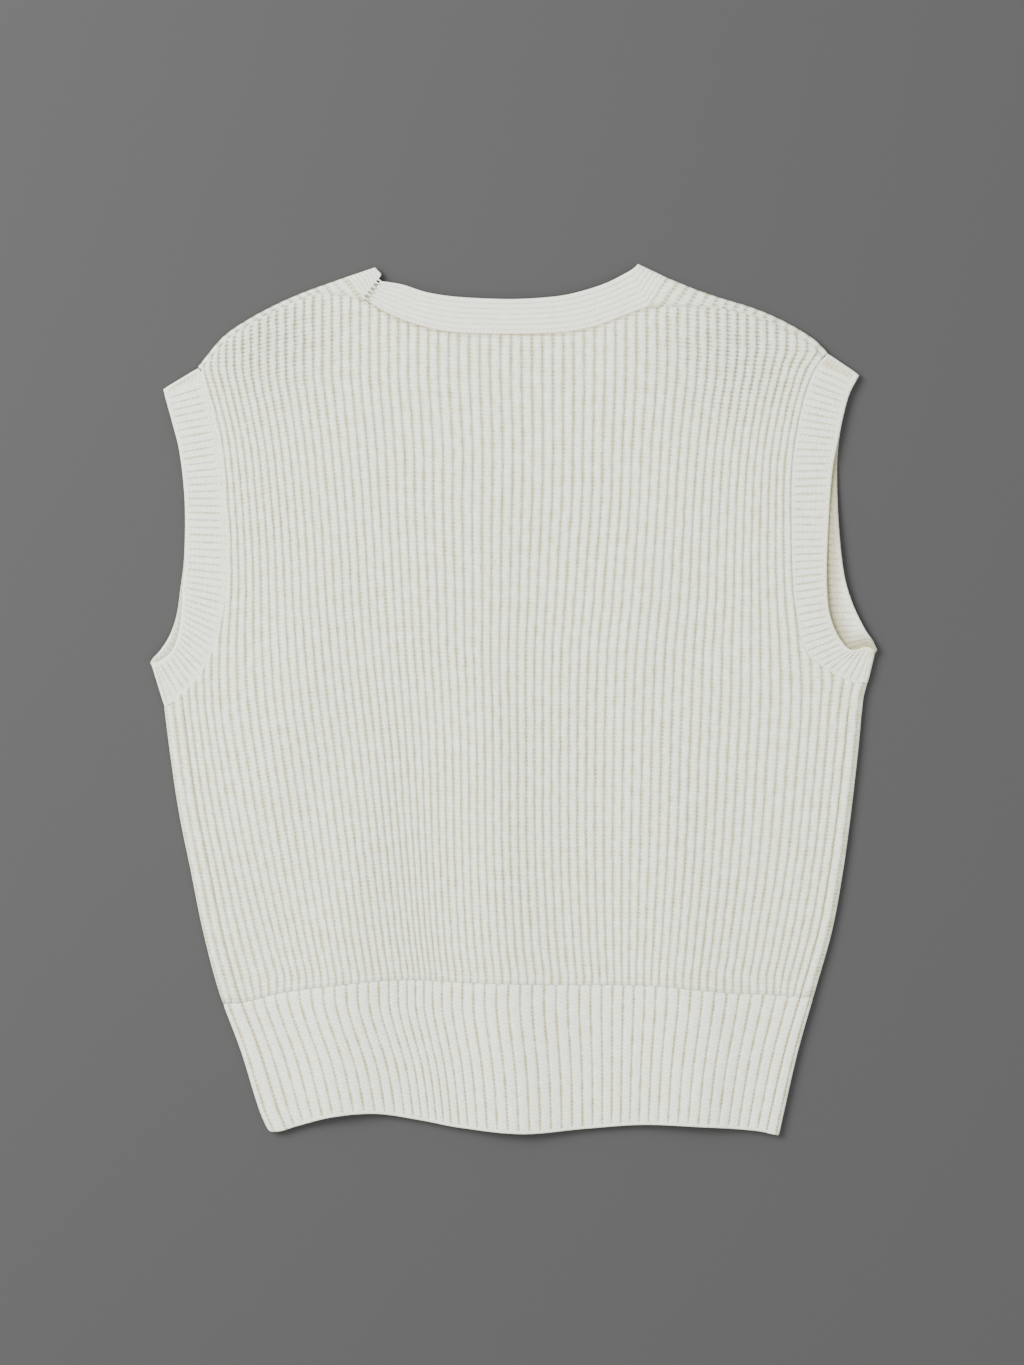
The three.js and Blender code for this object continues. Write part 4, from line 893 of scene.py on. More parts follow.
def back_panel():
    cloth = Knit()
    u = rib_steps(-SIDE_EDGE, SIDE_EDGE, BODY_SHARES)
    rows = body_rows(LOWER_ROWS, FOOT_ROWS, UPPER_ROWS)
    x, y = back_plan(u, rows)
    rib = u + SIDE_EDGE
    course = (y - hem_seam_y(x)) / COURSE
    shape = rib_shape(rib[None, :], *BODY_SECTION)
    x = x + 0.2 * unevenness(0, rib[None, :], course) * (shape > 0.2)
    rise = BODY_RISE * shape * (1 + 0.07 * unevenness(1, rib[None, :], course))
    rise = lerp(HEM_LEVEL, rise, smooth(y - y[0], 0, HEM_BLEND))
    rise = rise * lerp(SEAM_SINK, 1, smooth(y[-1] - y, 0, SEAM_BLEND))
    z = TOP_OUTSIDE + lift(x, y) + rise
    neck = smooth(x, NECK_END[LEFT], NECK_END[LEFT] + 6) * (
        1 - smooth(x, NECK_END[RIGHT] - 6, NECK_END[RIGHT])
    )
    seam = neck * (1 - smooth(y[-1] - y, 0.3, 1.6)) * NECK_SEAM
    below = smooth(FLAP_TOP - y, 0, 4)
    from_side = np.minimum(rib, 2 * SIDE_EDGE - rib)[None, :] * BODY_PITCH
    seam = np.maximum(seam, SIDE_SEAM * below * (1 - smooth(from_side, 0.6, 1.8)))
    outer = body_face(cloth, np.stack([x, y, z], -1), rib, course, u, rows, True, seam)

    inner_u = np.concatenate([u[np.abs(u) > CHEST_EDGE], np.linspace(-CHEST_EDGE, CHEST_EDGE, 53)])
    inner_u = np.unique(np.round(inner_u, 6))
    inner_rows = np.array([*np.linspace(0, 1, 11)[:-1], *np.linspace(1, 2, 5)[:-1], *np.linspace(2, 3, 9)])
    x, y = back_plan(inner_u, inner_rows)
    z = TOP_INSIDE + lift(x, y)
    inner = body_face(
        cloth, np.stack([x, y, z], -1), inner_u + SIDE_EDGE, y / COURSE, inner_u, inner_rows, False
    )
    close_body(cloth, inner, outer, inner_u, u, inner_rows, rows)
    return cloth.piece("back_knit", body_knit, "body_knit", "back_panel")


# The hem band
EDGE_ROUND = 1.1
EDGE_ROWS = (0, 0.15, 0.4, 0.8, 1.3, 2, 3, 4.2)
HEM_ROWS = 26


def roll(distance):
    """How far a face drops towards the middle of the cloth at a free edge."""
    near = np.clip(1 - np.asarray(distance, float) / EDGE_ROUND, 0, 1)
    return EDGE_ROUND * (1 - np.sqrt(1 - near**2))


def hem_plan(v, rows, rib_x, gap=0):
    """Places on the hem band; a row counts the millimetres from the free edge, up to 1 at the seam."""
    y = np.full((len(rows), len(v)), -250.0)
    for _ in range(SETTLE):
        x = rib_x(v[None, :], y)
        low = free_edge_y(x)
        y = lerp(low, hem_seam_y(x) - gap, rows[:, None])
    return rib_x(v[None, :], y), y, y - low


def hem_row_shares():
    start = np.array(EDGE_ROWS) / 92
    return np.concatenate([start, np.linspace(start[-1], 1, HEM_ROWS)[1:]])


def rim(cloth, near, far, at_near=None, at_far=None):
    """Closes the cloth between two lines, by the places of their points."""
    at_near = np.arange(len(near)) if at_near is None else at_near
    at_far = np.arange(len(far)) if at_far is None else at_far
    cloth.strip(near, far, at_near, at_far)


def close_sheet(cloth, low, high, low_u, high_u, low_rows, high_rows):
    """Closes a four-sided piece between its lower and its upper face."""
    rim(cloth, low[0], high[0], low_u, high_u)
    rim(cloth, high[-1], low[-1], high_u, low_u)
    rim(cloth, low[:, -1], high[:, -1], low_rows, high_rows)
    rim(cloth, high[:, 0], low[:, 0], high_rows, low_rows)


def hem_relief(v, x, y, from_edge):
    rib = v + HEM_EDGE
    course = from_edge / COURSE
    shape = rib_shape(rib[None, :], 0.05, 2.6)
    shape = shape * (1 + 0.05 * unevenness(1, rib[None, :] + 60, course))
    rise = lerp(0.85, shape, smooth(from_edge, 1.2, 4)) * HEM_RISE
    return rib, course, lerp(HEM_LEVEL, rise, smooth(hem_seam_y(x) - y, 0, HEM_BLEND))


def back_hem():
    cloth = Knit()
    v = rib_steps(-HEM_EDGE, HEM_EDGE, HEM_SHARES)
    rows = hem_row_shares()
    x, y, from_edge = hem_plan(v, rows, hem_x, -HEM_LAP)
    rib, course, rise = hem_relief(v, x, y, from_edge)
    inwards = -np.sign(v) * smooth(np.abs(v), HEM_EDGE - 1, HEM_EDGE) * SEAM_GAP / 2
    z = TOP_OUTSIDE + lift(x, y) + rise - roll(from_edge)
    plain = 1 - smooth(from_edge, 1.2, 2.6)
    from_side = np.minimum(rib, 2 * HEM_EDGE - rib)[None, :] * HEM_PITCH
    seam = SIDE_SEAM * (1 - smooth(from_side, 0.6, 1.8)) * np.ones_like(x)
    outer = cloth.grid(np.stack([x + inwards, y, z], -1), rib, course, True, seam, 0.0, plain)
    inner_v = np.linspace(-HEM_EDGE, HEM_EDGE, 51)
    inner_rows = np.array([0, 0.004, 0.01, 0.1, 0.25, 0.4, 0.55, 0.7, 0.85, 1])
    x, y, from_edge = hem_plan(inner_v, inner_rows, hem_x, -HEM_LAP)
    inwards = -np.sign(inner_v) * smooth(np.abs(inner_v), HEM_EDGE - 1, HEM_EDGE) * SEAM_GAP / 2
    z = TOP_INSIDE + lift(x, y) + roll(from_edge)
    inner = cloth.grid(np.stack([x + inwards, y, z], -1), inner_v + HEM_EDGE, from_edge / COURSE, False)
    close_sheet(cloth, inner, outer, inner_v, v, inner_rows, rows)
    return cloth.piece("back_hem_knit", hem_knit, "body_knit", "back_hem")


# The front, which is folded round the sides and shoulders
FLAP_RISE = 1.2
SHOULDER_RISE = 0.45
FREE_EDGE_Y = -296
HEM_SEAM_Y = -205
BODY_FLAP_RIBS = (3, 2)
HEM_FLAP_RIBS = (2, 2)


def flap_end(side):
    return BEND_LENGTH + SIDE_INSET[side] - BEND_REACH - SEAM_GAP / 2


class Folded:
    """The columns of a layer that is folded round both sides."""

    def __init__(self, middle, edge, flap_ribs, shares=None):
        sides = []
        for side in (LEFT, RIGHT):
            if shares is None:
                past = np.array([BEND_LENGTH / 2, BEND_LENGTH, flap_end(side)])
            else:
                past = rib_steps(0, flap_ribs[side], shares)[1:] * flap_end(side) / flap_ribs[side]
            sides.append(past)
        self.edge = edge
        self.past = np.concatenate([sides[LEFT][::-1], np.zeros(len(middle)), sides[RIGHT]])
        self.is_left = np.arange(len(self.past)) < len(sides[LEFT])
        self.is_right = np.arange(len(self.past)) >= len(sides[LEFT]) + len(middle)
        steps = [-edge - sides[LEFT][::-1] * flap_ribs[LEFT] / flap_end(LEFT), middle,
                 edge + sides[RIGHT] * flap_ribs[RIGHT] / flap_end(RIGHT)]
        self.u = np.concatenate(steps)

    def flap_x(self, side, y):
        """Where the columns of one flap lie at the heights y."""
        here = (self.is_left, self.is_right)[side]
        turn = np.clip(self.past[here] / BEND, 0, math.pi)
        reach = BEND * np.sin(turn) - np.maximum(self.past[here] - BEND_LENGTH, 0) - BEND_REACH
        return side_x[side](y) + SIGN[side] * reach

    def points(self, x, y, height, flap_y):
        """Places in the middle come from x and y; those on the flaps from flap_y."""
        past = np.broadcast_to(self.past, x.shape)
        flat = np.stack([x, y, -height], axis=-1)
        for side, here in ((LEFT, self.is_left), (RIGHT, self.is_right)):
            high = np.broadcast_to(flap_y[side], height[:, here].shape)
            edge = np.stack([side_x[side](high), high], -1)
            outward = np.array((SIGN[side], 0.0))
            flat[:, here] = around_fold(edge, outward, past[:, here], height[:, here])
        return flat


def flap_relief(shape, past):
    """Relief of ribs that rest on their crests below, and stand up once they are folded over."""
    over = smooth(past, 0, BEND_LENGTH)
    return lerp(-UNDER_RISE * (1 - shape), FLAP_RISE * shape, over)


def front_plan(u, rows, top):
    chest = np.abs(u) <= CHEST_EDGE
    foot = np.where(chest, ARMHOLE_FOOT, underarm_top(u, front_x, front_armhole_x))
    y = body_plan(rows, body_hem(u, front_x), foot, top)
    return front_x(u[None, :], y), y


def front_top_y(u):
    """A front rib ends at the neckline, or where the shoulder starts to bend."""
    y = np.full(np.shape(u), 200.0)
    for _ in range(SETTLE):
        y = v_seam(front_x(u, y))
    edge, outward = shoulder_edge(side_of(u), shoulder_start(u))
    shoulder = edge[..., 1] - outward[..., 1] * BEND_REACH
    return np.where((u > V_RIBS[0]) & (u < V_RIBS[2]), y, shoulder)


def front_face(cloth, folded, rows, inside):
    """One face of the front: below the armholes with its flaps, and above them."""
    u = np.clip(folded.u, -SIDE_EDGE, SIDE_EDGE)
    top = front_top_y(np.clip(u, -CHEST_EDGE, CHEST_EDGE))
    x, y = front_plan(u, rows, top)
    rib = folded.u + SIDE_EDGE
    shape = rib_shape(rib[None, :], *BODY_SECTION) * np.ones_like(x)
    height = np.full(x.shape, -FRONT_WALL) if inside else flap_relief(shape, folded.past[None, :])
    flap_y = []
    for side in (LEFT, RIGHT):
        corner = float(back_plan(np.array([SIGN[side] * SIDE_EDGE]), np.array([2.0]))[1][0, 0])
        past = folded.past[(folded.is_left, folded.is_right)[side]]
        rise = (corner - UNDERARM[side]) * smooth(past, BEND_LENGTH, flap_end(side))
        hem = float(hem_seam_y(seam_x(side, -205)))
        low = lerp(hem, ARMHOLE_BASE, np.clip(rows, 0, 1))
        high = low + np.clip(rows - 1, 0, 1) * (UNDERARM[side] - SEAM_GAP / 2 - ARMHOLE_BASE)
        flap_y.append(high[:, None] + rise * np.clip(rows[:, None] - 1, 0, 1))
    points = folded.points(x, y, height, flap_y)
    course = np.broadcast_to(y / COURSE, x.shape)
    return body_face(cloth, points, rib, course, folded.u, rows, inside)


def shoulder_flap(cloth, side, base, u, inside):
    """The part of the front that is folded over one shoulder, from the bend to the seam."""
    bend = np.array([0.5, 1]) if inside else np.linspace(0, 1, 11)[1:]
    flat = np.array([1.0]) if inside else np.array([0.25, 0.5, 0.75, 1])
    start = shoulder_start(u)
    end = shoulder_end(np.full(u.shape, side), start)
    past = np.concatenate([bend[:, None] * BEND_LENGTH * np.ones_like(start),
                           lerp(BEND_LENGTH, end[None, :], flat[:, None])])
    rib = u + SIDE_EDGE
    shape = rib_shape(rib[None, :], *BODY_SECTION) * np.ones_like(past)
    seam = lerp(SEAM_SINK, 1, smooth(end[None, :] - past, 0, SEAM_BLEND))
    smoothed = seam * (1 - 0.85 * np.sin(np.clip(past / BEND_LENGTH, 0, 1) * math.pi)) * SHOULDER_RISE
    rise = np.full(past.shape, -FRONT_WALL) if inside else flap_relief(shape, past) * smoothed
    rise[0] = -FRONT_WALL if inside else rise[0]
    sides = np.full(past.shape, side)
    points = shoulder_point(sides, np.broadcast_to(start, past.shape), past, rise)
    first = np.array([cloth.at(i) for i in base])[None]
    index = cloth.grid(
        np.concatenate([first, points]), rib, np.concatenate([past[:1] * 0, past]) / COURSE, inside
    )
    rows = np.concatenate([[0], bend, 1 + flat])
    return index, rows


def front_panel():
    cloth = Knit()
    chest = rib_steps(-SIDE_EDGE, SIDE_EDGE, UNDER_SHARES)
    clear = np.min([np.abs(chest - corner) for corner in V_RIBS], axis=0) > 0.1
    middle = np.sort(np.concatenate([chest[clear], V_RIBS]))
    outer_steps = Folded(middle, SIDE_EDGE, BODY_FLAP_RIBS, UNDER_SHARES)
    rows = body_rows(30, 14, 34)
    outer = front_face(cloth, outer_steps, rows, False)
    coarse = np.linspace(-CHEST_EDGE, CHEST_EDGE, 40)
    clear = np.min([np.abs(coarse - corner) for corner in V_RIBS], axis=0) > 0.5
    edges = chest[np.abs(chest) > CHEST_EDGE + 1e-6]
    plain = np.sort(np.concatenate([coarse[clear], edges, V_RIBS]))
    inner_steps = Folded(plain, SIDE_EDGE, BODY_FLAP_RIBS)
    inner_rows = np.array([*np.linspace(0, 1, 9)[:-1], *np.linspace(1, 2, 5)[:-1], *np.linspace(2, 3, 9)])
    inner = front_face(cloth, inner_steps, inner_rows, True)
    close_body(cloth, outer, inner, outer_steps.u, inner_steps.u, rows, inner_rows, top=False)

    def between(face, steps, low, high):
        here = np.flatnonzero((steps.u >= low - 1e-9) & (steps.u <= high + 1e-9))
        return face[-1, here], steps.u[here]
    inner_v, inner_at = between(inner, inner_steps, V_RIBS[0], V_RIBS[2])
    outer_v, outer_at = between(outer, outer_steps, V_RIBS[0], V_RIBS[2])
    cloth.strip(inner_v, outer_v, inner_at, outer_at)
    for side, low, high in ((LEFT, -CHEST_EDGE, V_RIBS[0]), (RIGHT, V_RIBS[2], CHEST_EDGE)):
        base, at = between(outer, outer_steps, low, high)
        under, under_rows = shoulder_flap(cloth, side, base, at, False)
        base, inner_at = between(inner, inner_steps, low, high)
        over, over_rows = shoulder_flap(cloth, side, base, inner_at, True)
        rim(cloth, over[-1], under[-1], inner_at, at)
        rim(cloth, under[:, -1], over[:, -1], under_rows, over_rows)
        rim(cloth, over[:, 0], under[:, 0], over_rows, under_rows)
    return cloth.piece("front_knit", body_knit, "body_knit", "front_panel")


def front_hem_x(v, y):
    """The front hem runs out to where the side starts to bend."""
    side = side_of(v)
    bend = sided(side, side_x, y) - pick(side, SIGN) * BEND_REACH
    return hem_x(v, y) + (bend - seam_x(side, y)) * np.abs(v / HEM_EDGE) ** 4


def front_hem():
    cloth = Knit()

    def face(folded, rows, inside):
        v = np.clip(folded.u, -HEM_EDGE, HEM_EDGE)
        x, y, from_edge = hem_plan(v, rows, front_hem_x, -HEM_LAP)
        rib = folded.u + HEM_EDGE
        shape = rib_shape(rib[None, :], 0.05, 2.6) * np.ones_like(x)
        shape = lerp(0.85, shape, smooth(from_edge, 1.2, 4))
        shape = lerp(0.7, shape, smooth(hem_seam_y(x) - y, 0, HEM_BLEND))
        height = np.full(x.shape, -FRONT_WALL) if inside else flap_relief(shape, folded.past[None, :])
        height = height + roll(from_edge) * (1 if inside else -1)
        flap_y = []
        for side in (LEFT, RIGHT):
            low = free_edge_y(folded.flap_x(side, FREE_EDGE_Y))
            high = hem_seam_y(folded.flap_x(side, HEM_SEAM_Y)) + HEM_LAP
            flap_y.append(lerp(low, high, rows[:, None]))
        points = folded.points(x, y, height, flap_y)
        return cloth.grid(points, rib, from_edge / COURSE, inside)
    outer_steps = Folded(rib_steps(-HEM_EDGE, HEM_EDGE, HEM_SHARES[::2]), HEM_EDGE, HEM_FLAP_RIBS, HEM_SHARES)
    inner_steps = Folded(np.linspace(-HEM_EDGE, HEM_EDGE, 26), HEM_EDGE, HEM_FLAP_RIBS)
    rows = hem_row_shares()
    inner_rows = np.array([0, 0.004, 0.01, 0.1, 0.25, 0.4, 0.55, 0.7, 0.85, 1])
    outer = face(outer_steps, rows, False)
    inner = face(inner_steps, inner_rows, True)
    close_sheet(cloth, outer, inner, outer_steps.u, inner_steps.u, rows, inner_rows)
    return cloth.piece("front_hem_knit", hem_knit, "body_knit", "front_hem")


# Bands
class Path:
    """A line of points, read by the share of its length."""

    def __init__(self, points):
        self.points = np.asarray(points, float)
        steps = np.linalg.norm(np.diff(self.points, axis=0), axis=1)
        self.at = np.concatenate([[0], np.cumsum(steps)])
        self.length = self.at[-1]
        self.at = self.at / self.length

    def point(self, share):
        return np.array([np.interp(share, self.at, self.points[:, k]) for k in (0, 1)])


def shifted(points, distance):
    before = np.concatenate([points[:1], points[:-1]])
    after = np.concatenate([points[1:], points[-1:]])
    run = unit(after - before)
    return points + np.stack([-run[:, 1], run[:, 0]], axis=-1) * distance


def armhole_path(side, plan, last=None):
    """The edge of a panel at its armhole, from the shoulder down to the underarm."""
    sign = SIGN[side]
    x, y = plan(np.array([sign * CHEST_EDGE]), np.linspace(3, 2, 40))
    chest = np.stack([x[:, 0], y[:, 0]], -1)
    x, y = plan(sign * np.linspace(CHEST_EDGE, SIDE_EDGE, 31)[1:], np.array([2.0]))
    foot = np.stack([x[0], y[0]], -1)
    ends = [] if last is None else [last[None]]
    return np.concatenate([chest, foot, *ends])


def fold_line(seam, edge, past, rise, parts):
    """A line across a band where it is folded, the fold running from seam to edge."""
    run = unit(edge - seam)
    outward = np.array((-run[1], run[0]))
    if outward @ ((seam + edge) / 2 - FOLD_CENTRE) < 0:
        outward = -outward
    places = seam + (edge - seam) * parts[:, None]
    return around_fold(places, outward, past, rise)


def before_fold(line, seam, edge):
    run = unit(edge - seam)
    inward = np.array((-run[1], run[0]))
    if inward @ (FOLD_CENTRE - seam) < 0:
        inward = -inward
    return bool(np.all((line[:, :2] - seam) @ inward > BEND_REACH + BEND_MARGIN))


BAND_PARTS = np.array([0, 0.03, 0.07, 0.12, 0.2, 0.35, 0.5, 0.65, 0.78, 0.86, 0.92, 0.95, 0.975, 0.99, 1])
BAND_WIDTH = 26
BAND_FOLD_RIBS = 1.5
CURL = 3
CRESCENT_SHADE = (0.6, 1)
CRESCENT_REACH = (7, 14)
BAND_SEAM = 0.2
INNER_RELIEF = 0.4


def ring(cloth, outer, inner, rib, course, flip, seam, shade, plain):
    """A closed band: its two faces and its two rims."""
    cloth.grid(outer, rib[:, None], course, flip, seam, 0.0, plain)
    cloth.grid(inner, rib[:, None], course, not flip, seam, shade, plain)
    for edge, up in ((0, not flip), (-1, flip)):
        points = np.stack([outer[:, edge], inner[:, edge]])
        cloth.grid(points, rib[None, :], np.stack([course[:, edge], course[:, edge]]), up)


def armhole_band(side):
    cloth = Knit()
    rows = BANDS[side]
    sign = SIGN[side]
    underarm = UNDERARM[side]
    corner = np.array([float(side_x[side](underarm)) - sign * BEND_REACH, underarm - SEAM_GAP / 2])
    back = Path(shifted(armhole_path(side, back_plan, corner), sign * BAND_GAP))

    def plan(u, rows):
        return front_plan(u, rows, front_top_y(np.clip(u, -CHEST_EDGE, CHEST_EDGE)))
    front = Path(shifted(armhole_path(side, plan), sign * BAND_GAP))
    tabled = Path([(row["seam_x"], row["seam_y"]) for row in rows])
    keyed = [{**row, "share": at} for row, at in zip(rows, tabled.at)]
    back_edge = [reader(keyed, "share", name) for name in ("edge_x", "edge_y")]
    front_edge = [reader(keyed, "share", name) for name in ("front_x", "front_y")]

    def fold(row, move):
        seam = np.array((row["seam_x"], row["seam_y"]), float) + move
        return seam, np.array((row["edge_x"], row["edge_y"]), float)
    shoulder = fold(rows[0], np.array((sign * ARM_CORNER, 0)))
    under = fold(rows[-1], np.array((0, UNDERARM_GAP)))

    parts = BAND_PARTS
    edge_drop = roll((1 - parts) * BAND_WIDTH)
    envelope = smooth(parts, 0.05, 0.14) * (1 - smooth(parts, 0.84, 0.92))
    seam_dip = 0.2 * (1 - smooth(parts, 0, 0.05))

    def relief(rib):
        shape = rib_shape(np.asarray(rib, float)[..., None], 0.04, 2.6)
        return lerp(0.8, shape, envelope)
    ribs = round(back.length / BAND_PITCH)
    front_ribs = round(front.length / BAND_PITCH)
    outer, inner, rib, shades = [], [], [], []

    def put(high, low, number, shade=0.0):
        outer.append(high)
        inner.append(low)
        rib.append(number)
        shades.append(shade * np.ones_like(parts))

    def level(seam, edge, height):
        line = seam + (edge - seam) * parts[:, None]
        return np.concatenate([line, np.broadcast_to(height, parts.shape)[:, None]], axis=-1)
    for step in rib_steps(0, ribs, BAND_SHARES):
        share = step / ribs
        seam = back.point(share)
        edge = np.array([float(read(share)) for read in back_edge])
        shape = relief(step)
        high = level(seam, edge, TOP_OUTSIDE + BAND_RISE * shape - edge_drop - seam_dip)
        low = level(seam, edge, TOP_INSIDE + edge_drop + INNER_RELIEF * (1 - shape))
        if before_fold(high, *shoulder) and before_fold(high, *under):
            put(high, low, step)

    def turn(line, number, pasts):
        for past in pasts:
            step = number(past)
            over = float(smooth(past, 0, BEND_LENGTH))
            shape = relief(step)
            rise = lerp(-0.6 * (1 - shape), BAND_RISE * shape, over) - edge_drop - seam_dip * over
            inside = -FRONT_WALL + edge_drop + INNER_RELIEF * (1 - shape) * (1 - over)
            put(fold_line(*line, past, rise, parts), fold_line(*line, past, inside, parts), step)
    pasts = np.linspace(0, BEND_LENGTH, 13)
    turn(under, lambda past: ribs + (1 - past / BEND_LENGTH) * BAND_FOLD_RIBS, pasts[::-1])
    start = ribs + BAND_FOLD_RIBS
    slack = front_slack[side]
    shares = np.linspace(0, 1, 200)
    rim_line = np.stack([read(shares) for read in back_edge], -1)
    falling = rim_line[: int(np.argmin(rim_line[:, 1])) + 1][::-1]
    rim_at = (falling[:, 1], falling[:, 0])
    steps = np.arange(1, front_ribs * 4) / 4
    for step in steps:
        share = 1 - step / front_ribs
        seam = front.point(share)
        edge = np.array([float(read(share)) for read in front_edge])
        shape = relief(start + step)
        out = abs(float(slack(seam[1]))) if seam[1] > underarm else 0.0
        place = seam + (edge - seam) * parts[:, None]
        beyond = np.min(np.linalg.norm(place[:, None] - rim_line[None], axis=2), axis=1)
        beyond = np.where(sign * (place[:, 0] - np.interp(place[:, 1], *rim_at)) > 0, beyond, 0)
        curl = CURL * smooth(parts, 0.35, 1) * float(smooth(out, 1, 9))
        high = level(seam, edge, 0.6 * (1 - shape) + edge_drop + curl)
        low = level(seam, edge, FRONT_WALL - edge_drop - INNER_RELIEF * (1 - shape) + curl)
        # Painted shade on the front band's inner face, deepest by the back band's edge and fading away from
        # it
        shade = CRESCENT_SHADE[side] * (1 - smooth(beyond, 1, CRESCENT_REACH[side]))
        shade = shade * float(smooth(share, 0.02, 0.1))
        put(high, low, start + step, shade)
    start += front_ribs
    turn(shoulder, lambda past: start + past / BEND_LENGTH * BAND_FOLD_RIBS, pasts)
    put(outer[0], inner[0], start + BAND_FOLD_RIBS, shades[0])
    rib[-1] = float(np.round(rib[-1])) + rib[0] % 1
    course = np.broadcast_to(parts * BAND_WIDTH / COURSE, (len(rib), len(parts)))
    seam = BAND_SEAM * (1 - smooth(parts, 0.01, 0.05))
    plain = 1 - envelope
    faces = (np.array(outer), np.array(inner))
    ring(cloth, *faces, np.array(rib, float), course, side == LEFT, seam, np.array(shades), plain)
    name = ("left", "right")[side]
    return cloth.piece(f"armhole_knit_{name}", band_knit, "band_knit", f"armhole_band_{name}")


NECK_SHARES = (0, 0.1, 0.25, 0.5, 0.75, 0.9)
NECK_STATIONS = 96
NECK_WIDTH = 24


def neck_band():
    cloth = Knit()
    keyed = [{**row, "share": i / (len(NECK) - 1)} for i, row in enumerate(NECK)]
    seam = [reader(keyed, "share", name) for name in ("seam_x", "seam_y")]
    edge = [reader(keyed, "share", name) for name in ("edge_x", "edge_y")]
    across = rib_steps(0, NECK_RIBS, NECK_SHARES)
    ends = np.array((0.975, 0.99, 0.996))
    parts = np.sort(np.concatenate([across / NECK_RIBS, ends]))
    rib = parts * NECK_RIBS
    edge_drop = roll((1 - parts) * NECK_WIDTH)
    seam_dip = 0.6 * (1 - smooth(parts, 0, 0.05))
    shape = lerp(0.8, rib_shape(rib, 0.05, 2.4), 1 - smooth(parts, 0.9, 0.96))
    standing = NECK_RISE * shape - edge_drop - seam_dip
    outer, inner = [], []

    for share in np.linspace(0, NECK_END_SHARE, NECK_STATIONS):
        high = np.array([float(read(share)) for read in edge])
        low = np.array([float(read(share)) for read in seam])
        low = low + unit(high - low) * BAND_GAP
        start = np.array((JOIN_GAP if share == 0 else 0, 0))
        line = low + start + (high - low) * parts[:, None]
        outer.append(np.concatenate([line, (TOP_OUTSIDE + standing)[:, None]], -1))
        inner.append(np.concatenate([line, (TOP_INSIDE + edge_drop)[:, None]], -1))

    turn_from = (V_LEFT, V_RIGHT)

    def beside(side, past, corner, over, gap, inside):
        start = turn_from[side] - SIGN[side] * gap
        depth = -FRONT_WALL if inside else 0.0
        low = shoulder_point(side, np.float64(start), past, depth)
        line = low + (corner - low) * parts[:, None]
        line[:, 2] += edge_drop * (1 if inside else -1) * (2 * over - 1)
        if not inside:
            line[:, 2] += lerp(0.5 * (1 - shape), NECK_RISE * shape - seam_dip, over)
        return line

    def bent(side, share, inside):
        fold = NECK_FOLD[side]
        lean = fold["lean"] * share * BEND_LENGTH
        corner = fold["edge"] + np.array((lean, abs(lean) * BAND_SLOPE[side]))
        depth = -FRONT_WALL if inside else 0.0
        end = around_fold(corner, fold["outward"], share * BEND_LENGTH, depth)
        return beside(side, share * BEND_LENGTH, end, float(smooth(share, 0.2, 0.8)), FOLD_GAP, inside)

    def flat(side, share, inside):
        end = float(shoulder_end(side, np.float64(turn_from[side])))
        past = lerp(BEND_LENGTH, end, share)
        fold = NECK_FOLD[side]
        lean = fold["lean"] * BEND_LENGTH
        corner = fold["edge"] + np.array((lean, abs(lean) * BAND_SLOPE[side]))
        depth = -FRONT_WALL if inside else 0.0
        corner = around_fold(corner, fold["outward"], BEND_LENGTH, depth)
        target = np.array((*TURN_EDGE[side], corner[2]))
        gap = lerp(FOLD_GAP, BAND_GAP, share)
        corner = lerp(corner, target, share)
        corner[0] += TIP_BULGE[side] * math.sin(math.pi * min(share / LADDER_SHARE, 1))
        return beside(side, past, corner, 1.0, gap, inside)

    def both(shape_line, side, shares):
        for share in shares:
            outer.append(shape_line(side, share, False))
            inner.append(shape_line(side, share, True))
    both(flat, RIGHT, np.linspace(1, 0, 9)[:-1])
    both(bent, RIGHT, np.linspace(1, 0, 13))
    for high, low in v_lines():
        line = high + (low - high) * parts[:, None]
        outer.append(np.concatenate([line, (0.5 * (1 - shape) + edge_drop)[:, None]], -1))
        inner.append(np.concatenate([line, (FRONT_WALL - edge_drop)[:, None]], -1))
    both(bent, LEFT, np.linspace(0, 1, 13))
    both(flat, LEFT, np.linspace(0, LADDER_SHARE, 9)[1:])
    outer = np.array(outer)
    inner = np.array(inner)
    middle = outer[:, len(parts) // 2]
    run = np.concatenate([[0], np.cumsum(np.linalg.norm(np.diff(middle, axis=0), axis=1))]) / COURSE
    course = np.broadcast_to(run[:, None], outer.shape[:2])
    plain = 1 - smooth(parts, 0.05, 0.12) * (1 - smooth(parts, 0.9, 0.95))
    seam = np.zeros(outer.shape[:2])
    seam[:NECK_STATIONS] = NECK_SEAM * (1 - smooth(parts, 0.02, 0.08))
    high = cloth.grid(outer, rib, course, False, seam, 0.0, plain)
    low = cloth.grid(inner, rib, course, True)
    rim(cloth, low[:, 0], high[:, 0])
    rim(cloth, high[:, -1], low[:, -1])
    rim(cloth, high[0], low[0])
    rim(cloth, low[-1], high[-1])
    ladder(outer[-1, :, :], outer[0, :, :])
    return cloth.piece("neck_knit", neck_knit, "band_knit", "neck_band")


LADDER_PLACES = (0.06, 0.24, 0.42, 0.6, 0.78, 0.95)
LADDER_WIDTH = 0.62
LADDER_ENDS = 1.6


